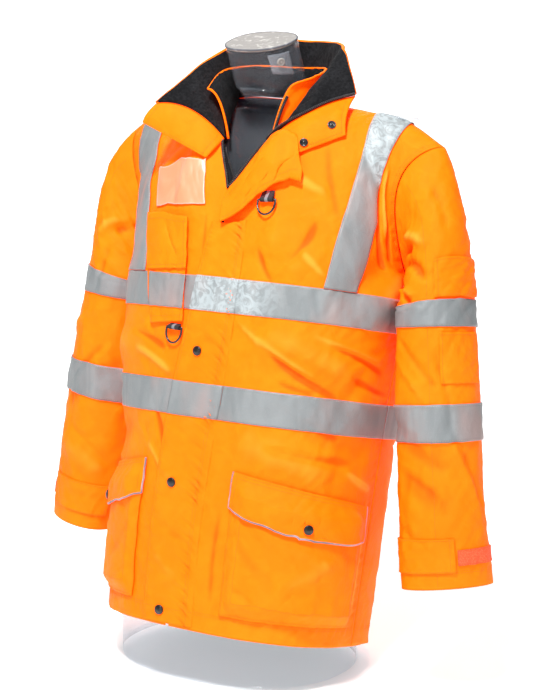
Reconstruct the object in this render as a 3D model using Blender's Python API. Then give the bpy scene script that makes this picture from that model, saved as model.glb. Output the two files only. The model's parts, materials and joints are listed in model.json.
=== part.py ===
"""Hi-vis work jacket of three-quarter length, worn by a clear torso form with no limbs.

Garment frame: x to the wearer's left, v to the back, h up the body, metres. The body leans back
by LEAN, and world() turns garment points into scene points, with the foot plate on z = 0.
A cut panel is a grid of points: columns run round the body and rows run up it. Whatever is sewn
on a panel is laid on that grid and moved out along its normals.
"""
import math

import bmesh
import bpy
import numpy as np

# Stance
LEAN = math.radians(12.3)      # backward lean of the body
HEM_Y = -0.021                 # where the centre of the hem stands
HEM_Z = 0.053
SHOULDER_TIP = 0.03            # drop of the shoulder line towards the wearer's left

# Cloth
SHELL = 0.002                  # padded shell wall
TAPE = 0.0010                  # reflective tape, webbing and flaps of one layer
GAP = 0.0004                   # between pieces that touch
NEAR = 0.0004                  # step for slopes

# Heights up the body, from the hem
LOW_TAPE = (0.308, 0.358)      # lower and upper edge of the lower band
HIGH_TAPE = (0.463, 0.513)     # lower and upper edge of the upper band
ARMPIT = 0.545
YOKE = 0.250                   # row span given to the part above the armpit
V_BOTTOM = 0.705               # row where the zip is open from, as rows are counted
ZIP_EDGE = 0.012               # column of the closed front edge
NECK_COLUMN = 0.15             # column where an open front edge meets the collar

FRONT_BULGE = 2.8              # superellipse exponents, front and back
BACK_BULGE = 2.3
RIGHT_FLATTER = 0.6            # how much less the lower right front bulges
# x, v, h by which the middle of the left armhole curves in, in front and behind
RIGHT_ARMHOLE = -0.45          # the right one stands out instead, by this share of the curve
ARMHOLE_IN = {False: np.array([0.028, 0.004, 0.0]), True: np.array([0.020, -0.006, 0.0])}

# h, half width, depth in front, depth behind
BODY = np.array([
    (-0.01, 0.203, 0.166, 0.166),
    (0.150, 0.208, 0.170, 0.160),
    (0.308, 0.213, 0.174, 0.154),
    (0.420, 0.220, 0.180, 0.150),
    (0.513, 0.225, 0.182, 0.148),
    (0.560, 0.224, 0.178, 0.146),
])

# column, x, v, h: the necklines from the middle out to the neck point, which both end on
FRONT_NECK = np.array([
    (0.00, 0.000, -0.142, 0.700),
    (0.15, 0.040, -0.134, 0.717),
    (0.27, 0.066, -0.104, 0.752),
    (0.36, 0.084, -0.060, 0.792),
])
BACK_NECK = np.array([
    (0.00, 0.000, 0.022, 0.808),
    (0.15, 0.042, 0.008, 0.806),
    (0.27, 0.070, -0.024, 0.801),
    (0.36, 0.084, -0.060, 0.792),
])
# the shoulder seam from the neck point out to the armhole
SHOULDER = np.array([
    (0.36, 0.084, -0.060, 0.792),
    (0.60, 0.150, -0.044, 0.787),
    (0.82, 0.215, -0.032, 0.776),
    (1.00, 0.271, -0.024, 0.746),
])

# the sleeve below its cap: x, v, h of the axis, half sizes across and along, turn of the oval
SLEEVE = np.array([
    (0.2860, -0.015, 0.500, 0.054, 0.062, 0.0),
    (0.301, -0.006, 0.371, 0.061, 0.061, 10.0),
    (0.317, 0.008, 0.240, 0.061, 0.056, 22.0),
    (0.337, 0.023, 0.112, 0.066, 0.049, 35.0),
])

# the form: h and v of a ring's centre, half width, depth in front and behind, tilt to the body
FORM = np.array([
    (-0.0452, 0.012, 0.186, 0.148, 0.150, 12.3),
    (0.020, 0.004, 0.190, 0.154, 0.144, 4.0),
    (0.200, 0.000, 0.192, 0.155, 0.138, 0.0),
    (0.420, 0.000, 0.198, 0.160, 0.130, 0.0),
    (0.560, 0.000, 0.200, 0.148, 0.122, 0.0),
    (0.640, -0.010, 0.198, 0.122, 0.104, 0.0),
    (0.700, -0.025, 0.195, 0.088, 0.080, 0.0),
    (0.742, -0.034, 0.190, 0.054, 0.051, 0.0),
    (0.7768, -0.046, 0.166, 0.025, 0.020, 0.0),
    (0.7836, -0.050, 0.128, 0.016, 0.013, 0.0),
    (0.7839, -0.0535, 0.0765, 0.020, 0.024, 0.0),
    (0.7866, -0.0655, 0.0545, 0.040, 0.037, 0.0),
    (0.803, -0.080, 0.054, 0.051, 0.047, 2.0),
    (0.830, -0.097, 0.053, 0.052, 0.050, 12.0),
    (0.869, -0.124, 0.053, 0.050, 0.048, 27.0),
])
FORM_WALL = 0.003

# row, sideways drift of the centre front as the open jacket hangs
DRIFT = np.array([
    (0.00, -0.013),
    (0.15, -0.018),
    (0.25, -0.013),
    (0.36, 0.000),
    (0.50, 0.010),
    (0.58, 0.008),
    (0.66, 0.000),
    (0.80, 0.000),
])
FOOT = (0.200, 0.168, 0.006)   # foot plate: half width, half depth, thickness

# the largest folds: side (1 wearer's left, -1 right), from column and row, to column and row,
# half width and height in metres, where a trough has a negative height
FRONT_FOLDS = np.array([
    (1, 0.30, 0.455, 0.78, 0.395, 0.026, 0.0050),
    (1, 0.34, 0.420, 0.80, 0.362, 0.020, -0.0040),
    (1, 0.24, 0.300, 0.72, 0.250, 0.028, 0.0055),
    (1, 0.50, 0.315, 0.92, 0.285, 0.020, -0.0035),
    (1, 0.72, 0.470, 0.93, 0.560, 0.028, 0.0070),
    (1, 0.60, 0.500, 0.86, 0.590, 0.020, -0.0045),
    (1, 0.26, 0.600, 0.50, 0.540, 0.024, 0.0035),
    (-1, 0.34, 0.440, 0.80, 0.400, 0.026, 0.0045),
    (-1, 0.40, 0.300, 0.82, 0.262, 0.024, -0.0040),
    (-1, 0.70, 0.480, 0.92, 0.560, 0.026, 0.0060),
    (-1, 0.52, 0.530, 0.86, 0.600, 0.020, -0.0035),
])
BACK_FOLDS = np.array([
    (0, -0.70, 0.440, -0.10, 0.395, 0.028, 0.0045),
    (0, 0.10, 0.425, 0.72, 0.452, 0.028, 0.0045),
    (0, -0.50, 0.262, 0.30, 0.230, 0.030, -0.0040),
    (0, 0.25, 0.130, 0.45, 0.030, 0.030, 0.0055),
    (0, -0.40, 0.140, -0.55, 0.020, 0.030, 0.0055),
    (0, -0.90, 0.520, -0.55, 0.600, 0.026, 0.0060),
    (0, 0.55, 0.600, 0.90, 0.520, 0.026, 0.0060),
])
# the same for the sleeves, by turn and row
SLEEVE_FOLDS = np.array([
    (1, 0.16, 0.22, 0.92, 0.62, 0.022, -0.0045),
    (1, 0.34, 0.18, 0.55, 0.36, 0.022, 0.0040),
    (1, 0.18, 0.78, 0.60, 0.66, 0.020, 0.0035),
    (1, 0.62, 0.60, 0.86, 0.74, 0.020, -0.0035),
    (-1, 0.20, 0.30, 0.48, 0.20, 0.022, -0.0040),
    (-1, 0.02, 0.58, 0.34, 0.72, 0.022, 0.0040),
    (-1, 0.52, 0.30, 0.90, 0.56, 0.022, -0.0040),
    (-1, 0.60, 0.78, 0.90, 0.66, 0.020, 0.0035),
])
BODY_GIRTH = 0.32              # metres of cloth in one column unit
SLEEVE_GIRTH = 0.39            # metres of cloth in one turn, and in one row of the sleeve


def world(points):
    """Garment x, v, h to scene x, y, z: the shoulders tip sideways, then all turns by the lean."""
    p = np.asarray(points, float)
    h = p[..., 2] - SHOULDER_TIP * p[..., 0] * ease((p[..., 2] - 0.45) / 0.30)
    y = HEM_Y + p[..., 1] * math.cos(LEAN) + h * math.sin(LEAN)
    z = HEM_Z - p[..., 1] * math.sin(LEAN) + h * math.cos(LEAN)
    return np.stack([p[..., 0], y, z], axis=-1)


def smooth(table, at):
    """Cubic curve through a table's rows, first column the position, slopes from the neighbours."""
    knots = table[:, 0]
    values = table[:, 1:]
    slopes = np.gradient(values, knots, axis=0)
    at = np.clip(np.asarray(at, float), knots[0], knots[-1])
    i = np.clip(np.searchsorted(knots, at, side="right") - 1, 0, len(knots) - 2)
    span = knots[i + 1] - knots[i]
    u = ((at - knots[i]) / span)[..., None]
    span = span[..., None]
    return ((2 * u**3 - 3 * u**2 + 1) * values[i] + (u**3 - 2 * u**2 + u) * span * slopes[i]
            + (3 * u**2 - 2 * u**3) * values[i + 1] + (u**3 - u**2) * span * slopes[i + 1])


def ease(x):
    """0 to 1 with level ends."""
    x = np.clip(x, 0.0, 1.0)
    return x * x * (3 - 2 * x)


def quarter(angle, half_width, depth, bulge):
    """A quarter of a superellipse in polar form: 0 at the middle, 90 degrees at the side."""
    c = np.abs(np.cos(angle)) / depth
    s = np.abs(np.sin(angle)) / half_width
    r = (c**bulge + s**bulge) ** (-1 / bulge)
    return r * np.sin(angle), r * np.cos(angle)


def body_point(column, row, back, side):
    """Left half of the body surface. Rings up to the armpit, then a cubic patch to the top edge."""
    column, row = np.broadcast_arrays(np.asarray(column, float), np.asarray(row, float))
    size = smooth(BODY, np.minimum(row, ARMPIT))
    depth = size[..., 2] if back else size[..., 1]
    flatter = RIGHT_FLATTER * ease((0.42 - row) / 0.22) * (np.asarray(side) < 0)
    x, v = quarter(column * math.pi / 2, size[..., 0], depth, BACK_BULGE if back else FRONT_BULGE - flatter)
    sign = 1 if back else -1
    ring = np.stack([x, sign * v, np.minimum(row, ARMPIT)], axis=-1)
    neckline = smooth(BACK_NECK if back else FRONT_NECK, column)
    top = np.where((column > 0.36)[..., None], smooth(SHOULDER, column), neckline)
    flank = ease((column - 0.62) / 0.38)[..., None]
    rise = np.array([0.0, 0.0, 1.0]) * (1 - flank) + np.array([-0.06, sign * 0.85, 0.65]) * flank
    over = ease((column - 0.04) / 0.26)[..., None]
    neck = np.array([0.0, -0.30, 0.95]) if back else np.array([0.0, 0.20, 1.0])
    arrive = neck * (1 - over) + np.array([0.0, -sign * 0.80, 0.0]) * over
    reach = np.linalg.norm(top - ring, axis=-1, keepdims=True)
    u = np.clip((row - ARMPIT) / YOKE, 0.0, 1.0)[..., None]
    patch = ((2 * u**3 - 3 * u**2 + 1) * ring + (u**3 - 2 * u**2 + u) * rise * reach
             + (3 * u**2 - 2 * u**3) * top + (u**3 - u**2) * arrive * reach)
    curve = np.where(np.asarray(side) > 0, 1.0, RIGHT_ARMHOLE)[..., None]
    patch = patch - ARMHOLE_IN[back] * curve * flank * 28.9 * u**3 * (1 - u) ** 2
    return np.where((row > ARMPIT)[..., None], patch, ring)


def drift(body_column, row):
    """The centre front hangs a little to one side, fading out towards the side seams."""
    shift = smooth(DRIFT, row)[..., 0] * (1 - body_column) ** 2
    return np.stack([shift, 0 * shift, 0 * shift], axis=-1)


def drape(folds, side, column, row, girth, length=1.0):
    """Height of the folds at a place: each one a soft ridge or trough along a straight line."""
    height = np.zeros(np.broadcast(column, row).shape)
    for where, c0, r0, c1, r1, width, size in folds:
        if where != side:
            continue
        x, y = (column - c0) * girth, (row - r0) * length
        dx, dy = (c1 - c0) * girth, (r1 - r0) * length
        t = np.clip((x * dx + y * dy) / (dx * dx + dy * dy), 0.0, 1.0)
        height = height + size * np.exp(-((x - t * dx)**2 + (y - t * dy)**2) / width**2)
    return height


def pushed(p, height):
    """A step away from the body's upright axis."""
    way = p * np.array([1.0, 1.0, 0.0])
    return way / np.linalg.norm(way, axis=-1, keepdims=True) * height[..., None]


def fade_to_seam(column):
    """1 inside a panel and 0 at its side seam and armhole."""
    return ease((1 - column) / 0.10)


def front_edge(row):
    """Column of the front edge: closed up to the foot of the V, then opening to the collar."""
    open_part = np.clip((row - V_BOTTOM) / (ARMPIT + YOKE - V_BOTTOM), 0.0, 1.0)
    return ZIP_EDGE + (NECK_COLUMN - ZIP_EDGE) * open_part**1.15


def front_point(column, row, side):
    """A front panel: columns run from its front edge to the side seam, and the V is cut away."""
    edge = front_edge(np.asarray(row, float))
    body_column = edge + (1 - edge) * column
    p = body_point(body_column, row, back=False, side=side) * np.array([side, 1.0, 1.0])
    height = drape(FRONT_FOLDS, side, column, row, BODY_GIRTH) * fade_to_seam(column) * ease(column / 0.25)
    return p + drift(body_column, row) + pushed(p, height)


class Panel:
    """A cut piece as a grid: rows, columns, outer points and normals that point away from the wearer."""

    def __init__(self, rows, columns, point, outward):
        self.rows = np.asarray(rows, float)
        self.columns = np.asarray(columns, float)
        c, r = np.meshgrid(self.columns, self.rows)
        self.points = point(c, r)
        across = point(c + NEAR, r) - point(c - NEAR, r)
        up = point(c, r + NEAR) - point(c, r - NEAR)
        n = np.cross(across, up)
        self.normals = outward * n / np.linalg.norm(n, axis=-1, keepdims=True)

    def at(self, column, row, out=0.0):
        """Points of the faceted panel, moved out along its normals."""
        column, row = np.broadcast_arrays(np.asarray(column, float), np.asarray(row, float))
        i = np.clip(np.searchsorted(self.rows, row, side="right") - 1, 0, len(self.rows) - 2)
        j = np.clip(np.searchsorted(self.columns, column, side="right") - 1, 0, len(self.columns) - 2)
        a = ((row - self.rows[i]) / (self.rows[i + 1] - self.rows[i]))[..., None]
        b = ((column - self.columns[j]) / (self.columns[j + 1] - self.columns[j]))[..., None]

        def mix(f):
            low = f[i, j] * (1 - b) + f[i, j + 1] * b
            high = f[i + 1, j] * (1 - b) + f[i + 1, j + 1] * b
            return low * (1 - a) + high * a

        return mix(self.points) + mix(self.normals) * np.asarray(out, float)[..., None]


def material(name, colour, roughness, metallic=0.0, alpha=1.0):
    m = bpy.data.materials.new(name)
    m.use_nodes = True
    shader = m.node_tree.nodes["Principled BSDF"]
    shader.inputs["Base Color"].default_value = (*colour, 1.0)
    shader.inputs["Roughness"].default_value = roughness
    shader.inputs["Metallic"].default_value = metallic
    shader.inputs["Alpha"].default_value = alpha
    return m


FINISH = {
    "orange": ((1.0, 0.27, 0.0), 0.75, 0.0, 1.0),
    "tape": ((0.55, 0.55, 0.55), 0.35, 0.0, 1.0),
    "fleece": ((0.02, 0.02, 0.022), 0.95, 0.0, 1.0),
    "dark": ((0.03, 0.025, 0.025), 0.35, 0.0, 1.0),
    "navy": ((0.02, 0.022, 0.05), 0.9, 0.0, 1.0),
    "webbing": ((0.05, 0.05, 0.055), 0.8, 0.0, 1.0),
    "hook": ((1.0, 0.16, 0.08), 0.8, 0.0, 1.0),
    "window": ((1.0, 0.55, 0.35), 0.15, 0.0, 0.7),
    "clear": ((0.9, 0.92, 0.93), 0.05, 0.0, 0.2),
}


def add_object(name, points, faces, finish, pivot=(0.0, 0.0, 0.0)):
    """One named object from garment points and faces, its faces turned outwards, its origin at a pivot."""
    mesh = bpy.data.meshes.new(name)
    mesh.from_pydata((world(points) - np.array(pivot)).tolist(), [], faces)
    bm = bmesh.new()
    bm.from_mesh(mesh)
    bmesh.ops.recalc_face_normals(bm, faces=bm.faces)
    bm.to_mesh(mesh)
    bm.free()
    mesh.shade_smooth()
    mesh.materials.append(material(name, *FINISH[finish]))
    item = bpy.data.objects.new(name, mesh)
    item.location = pivot
    bpy.context.scene.collection.objects.link(item)
    return item


def wall(name, outer, inner, finish, closed=False, capped=False):
    """A wall between two grids of points. Closed walls join their last column to the first.

    A capped one has a flat end across its top.
    """
    rows, columns = outer.shape[:2]
    count = rows * columns
    index = np.arange(count).reshape(rows, columns)
    if closed:
        index = np.hstack([index, index[:, :1]])
    faces = []
    for i in range(index.shape[0] - 1):
        for j in range(index.shape[1] - 1):
            a, b, c, d = index[i, j], index[i, j + 1], index[i + 1, j + 1], index[i + 1, j]
            for face in ((a, b, c), (a, c, d)):
                faces.append(face)
                faces.append(tuple(k + count for k in reversed(face)))
    rims = [index[0]] if capped else [index[0], index[-1]]
    if not closed:
        rims += [index[:, 0], index[:, -1]]
    if capped:
        faces.append(tuple(index[-1, :columns]))
        faces.append(tuple(k + count for k in reversed(index[-1, :columns])))
    for rim in rims:
        for a, b in zip(rim[:-1], rim[1:]):
            faces.append((a, b, b + count, a + count))
    points = np.concatenate([outer.reshape(-1, 3), inner.reshape(-1, 3)])
    return add_object(name, points, [tuple(int(k) for k in f) for f in faces], finish)


for item in list(bpy.data.objects):
    bpy.data.objects.remove(item)

# --- body panels ------------------------------------------------------------------------------
LOW_ROWS = [0.0, 0.03, 0.08, 0.13, 0.18, 0.225, 0.27, *LOW_TAPE, 0.39, 0.43, *HIGH_TAPE, ARMPIT]
TOP_ROWS = [0.575, 0.60, 0.63, 0.66, V_BOTTOM, 0.735, 0.765, ARMPIT + YOKE - 0.0005]
FRONT_COLUMNS = [0.0, 0.13, 0.247, 0.345, 0.44, 0.53, 0.615, 0.70, 0.79, 0.88, 0.998]
SHOULDER_COLUMNS = [NECK_COLUMN + (1 - NECK_COLUMN) * c for c in FRONT_COLUMNS]


def back_point(column, row):
    p = body_point(np.abs(column), row, back=True, side=np.where(column < 0, -1, 1))
    p = p * np.stack([np.sign(column), np.ones_like(column), np.ones_like(column)], axis=-1)
    return p + pushed(p, drape(BACK_FOLDS, 0, column, row, BODY_GIRTH) * fade_to_seam(np.abs(column)))


def level_seam(panel, shoulder_columns, side):
    """Both sides of a shoulder seam share one normal: up at the neck, leaning out at the tip."""
    on_seam = shoulder_columns > 0.35
    outward = 0.6 * ease((shoulder_columns - 0.36) / 0.64) * side
    n = np.stack([outward, np.zeros_like(outward), np.ones_like(outward)], axis=-1)
    n /= np.linalg.norm(n, axis=-1, keepdims=True)
    panel.normals[-1, on_seam] = n[on_seam]


fronts = {}
for side, name in ((1, "front_left"), (-1, "front_right")):
    fronts[side] = Panel(LOW_ROWS + TOP_ROWS, FRONT_COLUMNS, lambda c, r: front_point(c, r, side), side)
    p = fronts[side]
    shoulder = NECK_COLUMN + (1 - NECK_COLUMN) * p.columns
    level_seam(p, shoulder, np.full_like(shoulder, side))
    wall(name, p.points, p.points - p.normals * SHELL, "orange")
half_back = SHOULDER_COLUMNS
back_columns = [-c for c in half_back[::-1]] + [0.0] + half_back
back = Panel(LOW_ROWS + TOP_ROWS, back_columns, back_point, -1)
level_seam(back, np.abs(back.columns), np.sign(back.columns))
wall("back", back.points, back.points - back.normals * SHELL, "orange")

# --- sleeves ----------------------------------------------------------------------------------
RISES = [(r - ARMPIT) / YOKE for r in [ARMPIT] + TOP_ROWS[:-1]] + [1.0]
TURNS = [(1 - r) / 2 for r in RISES[::-1]] + [(1 + r) / 2 for r in RISES[1:-1]]
CAP_ROWS = [-1 + NEAR, -0.88, -0.72, -0.54, -0.36, -0.18]
ARMHOLE_GAP = 0.0006
UNDERARM_GAP = 0.0012          # the sleeve stands off the side below the armhole
ARM_ROWS = [0.0, 0.055, 0.180, 0.300, 0.385, 0.510, 0.640, 0.770, 0.900, 1.0]


def sleeve_ring(turn, row):
    """Oval rings along the left sleeve, row 0 under the cap and 1 at the cuff, and the way down."""
    turn, row = np.broadcast_arrays(np.asarray(turn, float), np.asarray(row, float))
    knots = np.linspace(0, 1, len(SLEEVE))
    axis = smooth(np.column_stack([knots, SLEEVE]), np.clip(row, 0, 1))
    down = smooth(np.column_stack([knots, np.gradient(SLEEVE[:, :3], knots, axis=0)]), np.clip(row, 0, 1))
    down /= np.linalg.norm(down, axis=-1, keepdims=True)
    yaw = np.radians(axis[..., 5])
    wide = np.stack([np.cos(yaw), np.sin(yaw), 0 * yaw], axis=-1)
    wide -= down * np.sum(wide * down, axis=-1, keepdims=True)
    wide /= np.linalg.norm(wide, axis=-1, keepdims=True)
    deep = np.cross(down, wide)
    angle = turn * 2 * math.pi
    cosine = np.cos(angle - yaw)[..., None]
    sine = np.sin(angle - yaw)[..., None]
    ring = axis[..., :3] + wide * cosine * axis[..., 3:4] - deep * sine * axis[..., 4:5]
    return ring, down


def armhole(turn, side):
    """The armhole loop: from the shoulder tip down the back to the underarm, and up the front."""
    in_front = turn > 0.5
    row = ARMPIT + YOKE * np.abs(1 - 2 * turn)
    front = body_point(np.ones_like(row), row, back=False, side=side)
    rear = body_point(np.ones_like(row), row, back=True, side=side)
    return np.where(in_front[..., None], front, rear)


# turn, x, v, h: the way the sleeve leaves the armhole
LEAVE = np.array([
    (-0.125, 0.85, -0.25, -0.50),
    (0.00, 0.62, 0.00, -0.86),
    (0.125, 0.50, 0.10, -0.90),
    (0.30, 0.85, 0.25, -0.50),
    (0.42, 0.85, 0.15, -0.55),
    (0.50, 0.75, 0.00, -0.65),
    (0.58, 0.95, -0.05, -0.25),
    (0.70, 1.00, -0.10, -0.20),
    (0.875, 0.85, -0.25, -0.50),
    (1.00, 0.62, 0.00, -0.86),
])


def sleeve_surface(turn, row, side):
    """A sleeve, as a left one. Rows below 0 are a cubic patch from the armhole, the others rings."""
    turn = turn % 1.0
    start = armhole(turn, side)
    leave = smooth(LEAVE, turn)
    first, down = sleeve_ring(turn, np.zeros_like(row))
    reach = 0.9 * np.linalg.norm(first - start, axis=-1, keepdims=True)
    under = ease(1 - np.abs(turn - 0.5) / 0.15)[..., None] * np.array([1.0, 0.0, 0.0])
    u = np.clip(row + 1, 0.0, 1.0)[..., None]
    start = start + leave * ARMHOLE_GAP + UNDERARM_GAP * under
    cap = ((2 * u**3 - 3 * u**2 + 1) * start + (u**3 - 2 * u**2 + u) * leave * reach
           + (3 * u**2 - 2 * u**3) * first + (u**3 - u**2) * down * reach)
    p = np.where((row < 0)[..., None], cap, sleeve_ring(turn, row)[0])
    laps = (drape(SLEEVE_FOLDS, side, turn + lap, row, SLEEVE_GIRTH, SLEEVE_GIRTH) for lap in (-1, 0, 1))
    height = sum(laps)
    knots = np.linspace(0, 1, len(SLEEVE))
    away = p - smooth(np.column_stack([knots, SLEEVE]), np.clip(row, 0, 1))[..., :3]
    away /= np.linalg.norm(away, axis=-1, keepdims=True)
    return p + away * (height * ease(row / 0.15) * ease((1 - row) / 0.10))[..., None]


sleeves = {}
for side, name in ((1, "sleeve_left"), (-1, "sleeve_right")):
    flip = np.array([side, 1.0, 1.0])
    lapped = TURNS + [1 + t for t in TURNS[:6]]
    sleeves[side] = Panel(CAP_ROWS + ARM_ROWS, lapped,
                          lambda c, r: sleeve_surface(c, r, side) * flip, -side)
    p = sleeves[side]
    around = slice(0, len(TURNS))
    wall(name, p.points[:, around], (p.points - p.normals * SHELL)[:, around], "orange", closed=True)

# --- pieces laid on the panels ------------------------------------------------------------------
def laid(name, panel, columns, rows, finish, out=GAP, thick=TAPE):
    """A piece laid on a panel: its grid of panel positions, moved out to both its faces."""
    columns, rows, out = np.broadcast_arrays(columns, rows, out)
    return wall(name, panel.at(columns, rows, out + thick), panel.at(columns, rows, out), finish)


def knots_between(knots, low, high):
    inside = [k for k in knots if low + 1e-4 < k < high - 1e-4]
    return np.array([low, *inside, high])


def band(name, panel, columns, rows, finish, out=GAP, thick=TAPE):
    """A piece square to the grid, with the panel's own lines in it so that both bend alike."""
    c = knots_between(panel.columns, *columns)
    r = knots_between(panel.rows, *rows)
    return laid(name, panel, c[None, :], r[:, None], finish, out, thick)


def quad(corners, across, up, sag=(0.0, 0.0)):
    """Grid positions inside four corners: lower left, lower right, upper right, upper left.
    The middles of the lower and upper edges sag by the rows given."""
    a = np.linspace(0, 1, across + 1)[None, :, None]
    b = np.linspace(0, 1, up + 1)[:, None, None]
    low_left, low_right, high_right, high_left = np.array(corners, float)
    grid = (low_left * (1 - a) + low_right * a) * (1 - b) + (high_left * (1 - a) + high_right * a) * b
    grid[..., 1] -= (4 * a * (1 - a) * (sag[0] * (1 - b) + sag[1] * b))[..., 0]
    return grid[..., 0], grid[..., 1]


# --- storm flap and lapel -----------------------------------------------------------------------
FLAP = (-0.046, 0.044)          # edges across the closed front, wearer's right and left
FLAP_TOP = 0.618
FLAP_THICK = 0.0025
DEPTH_AT_FRONT = 0.178
# row, how far the flap's right edge comes in towards its left edge
NARROWING = np.array([
    (0.00, 0.000),
    (0.20, 0.000),
    (0.36, 0.003),
    (0.45, 0.013),
    (0.55, 0.023),
    (0.62, 0.033),
])


def flap_point(across, row):
    """The closed front carried across the zip, by distance from the middle; narrower at the top."""
    come_in = smooth(NARROWING, row)[..., 0]
    across = across + come_in * (FLAP[1] - across) / (FLAP[1] - FLAP[0])
    column = np.arctan(np.abs(across) / DEPTH_AT_FRONT) * 2 / math.pi
    mirror = np.stack([np.sign(across), 1 + 0 * column, 1 + 0 * column], axis=-1)
    p = body_point(column, row, back=False, side=1) * mirror
    return p + drift(column, row)


flap_rows = [r for r in LOW_ROWS + TOP_ROWS if r < FLAP_TOP - 0.02] + [FLAP_TOP]
flap_rows[0] = 0.004
flap = Panel(flap_rows, [FLAP[0], -0.030, -0.012, 0.004, 0.018, 0.032, FLAP[1]], flap_point, 1)
LIFT = np.array([0.0026, 0.0030, 0.0034, 0.0034, 0.0030, 0.0022, 0.0018])
flap.points = flap.points + flap.normals * (LIFT[None, :, None] + FLAP_THICK)
wall("storm_flap", flap.points, flap.points - flap.normals * FLAP_THICK, "orange")
for low, high, name in ((*LOW_TAPE, "tape_flap_low"), (*HIGH_TAPE, "tape_flap_high")):
    band(name, flap, (FLAP[0] + 0.0006, FLAP[1] - 0.0006), (low, high), "tape")

# the lapel is the top of the flap, turned back to the left: from the open front edge to its free edge
LAPEL_STEPS = (8, 6)
u = np.linspace(0, 1, LAPEL_STEPS[0] + 1)[:, None]
w = np.linspace(0, 1, LAPEL_STEPS[1] + 1)[None, :]
lapel_column = w * (0.010 + 0.405 * u)
open_edge = V_BOTTOM + 0.006 + (0.780 - V_BOTTOM) * u
free_edge = 0.616 + 0.022 * u + 0.045 * u * (1 - u)
lapel_row = open_edge * (1 - w) + free_edge * w
roll = 0.0085 * np.sin(math.pi * w) ** 0.8 * (0.6 + 0.4 * u)
lapel_out = 0.0012 + roll + 0.0125 * w * (1 - 0.55 * u)
laid("lapel", fronts[1], lapel_column, lapel_row, "orange", lapel_out, 0.0030)

# --- reflective tape on the body ----------------------------------------------------------------
FLAP_COLUMNS = {1: 0.155, -1: 0.190}   # where the bands meet the flap's edges
for side, word in ((1, "left"), (-1, "right")):
    for (low, high), level in ((LOW_TAPE, "low"), (HIGH_TAPE, "high")):
        start = FLAP_COLUMNS[side] if level == "low" or side == 1 else 0.125
        band(f"tape_front_{word}_{level}", fronts[side], (start, 0.9975), (low, high), "tape")
for (low, high), level in ((LOW_TAPE, "low"), (HIGH_TAPE, "high")):
    band(f"tape_back_{level}", back, (-0.9975, 0.9975), (low, high), "tape")

# row, then for the left front and for the right front the brace's middle column and half width
BRACE = np.array([
    (0.515, 0.618, 0.074, 0.530, 0.110),
    (0.580, 0.660, 0.083, 0.575, 0.110),
    (0.640, 0.730, 0.103, 0.700, 0.125),
    (0.705, 0.776, 0.103, 0.790, 0.105),
    (0.765, 0.735, 0.098, 0.775, 0.108),
    (0.7935, 0.700, 0.098, 0.745, 0.112),
])
BRACE_OUT = 0.0015
brace_rows = np.array([HIGH_TAPE[1] + 0.0006, 0.53, ARMPIT, *TOP_ROWS[:-1], 0.7935])
for side, word, pick in ((1, "left", 0), (-1, "right", 2)):
    middle, half = smooth(BRACE, brace_rows)[:, pick:pick + 2].T
    spread = np.linspace(-1, 1, 5)[None, :]
    laid(f"tape_brace_front_{word}", fronts[side], middle[:, None] + half[:, None] * spread,
         brace_rows[:, None], "tape", BRACE_OUT)
    top_middle = NECK_COLUMN + (1 - NECK_COLUMN) * middle[-1]
    top_half = (1 - NECK_COLUMN) * half[-1]
    fall = np.clip((brace_rows - HIGH_TAPE[1]) / 0.28, 0, 1)
    back_middle = 0.56 + (top_middle - 0.56) * fall
    back_half = 0.075 + (top_half - 0.075) * fall
    laid(f"tape_brace_back_{word}", back, side * (back_middle[:, None] + back_half[:, None] * spread),
         brace_rows[:, None], "tape", BRACE_OUT)

# --- sleeves: bands, pocket, cuff tabs ----------------------------------------------------------
# level, rows, how far it stands off the sleeve
SLEEVE_BANDS = (("high", -0.085, 0.055, 0.0011), ("low", 0.335, 0.470, 0.0014))
for side, word in ((1, "left"), (-1, "right")):
    arm = sleeves[side]
    for level, top, bottom, off in SLEEVE_BANDS:
        rows = np.linspace(top, bottom, 3)
        rows = np.unique(np.concatenate([rows, [r for r in arm.rows if top < r < bottom]]))
        grid_c, grid_r = np.meshgrid(np.array(TURNS), rows)
        wall(f"tape_sleeve_{word}_{level}", arm.at(grid_c, grid_r, off + TAPE),
             arm.at(grid_c, grid_r, off), "tape", closed=True)
    band(f"cuff_tab_{word}", arm, (0.55, 0.866), (0.815, 0.940), "orange", GAP, 0.0022)
    band(f"hook_tape_{word}", arm, (0.874, 1.085), (0.858, 0.915), "hook", GAP, 0.0016)
arm = sleeves[1]
band("sleeve_pocket", arm, (0.845, 1.045), (0.075, 0.262), "orange", GAP, 0.0016)
band("sleeve_pocket_flap", arm, (0.832, 1.058), (-0.330, -0.100), "orange", 0.0008, 0.0026)

# --- right chest --------------------------------------------------------------------------------
chest = fronts[-1]
c, r = quad(((0.425, 0.598), (0.108, 0.649), (0.173, 0.715), (0.503, 0.645)), 8, 4, sag=(0.011, 0.022))
laid("id_window", chest, c, r, "window", 0.0022, 0.0010)
c, r = quad(((0.330, 0.437), (0.140, 0.444), (0.185, 0.588), (0.440, 0.578)), 6, 8)
laid("phone_pocket", chest, c, r, "orange", 0.0027, 0.0022)
c, r = quad(((0.388, 0.5155), (0.155, 0.5215), (0.190, 0.606), (0.458, 0.590)), 6, 4, sag=(0, 0.005))
laid("phone_pocket_flap", chest, c, r, "orange", 0.0057, 0.0024)
c, r = quad(((0.345, HIGH_TAPE[0]), (0.146, HIGH_TAPE[0]), (0.152, HIGH_TAPE[1] - 0.001),
             (0.372, HIGH_TAPE[1] - 0.001)), 6, 3)
laid("tape_phone_pocket", chest, c, r, "tape", 0.0057, TAPE)

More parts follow.
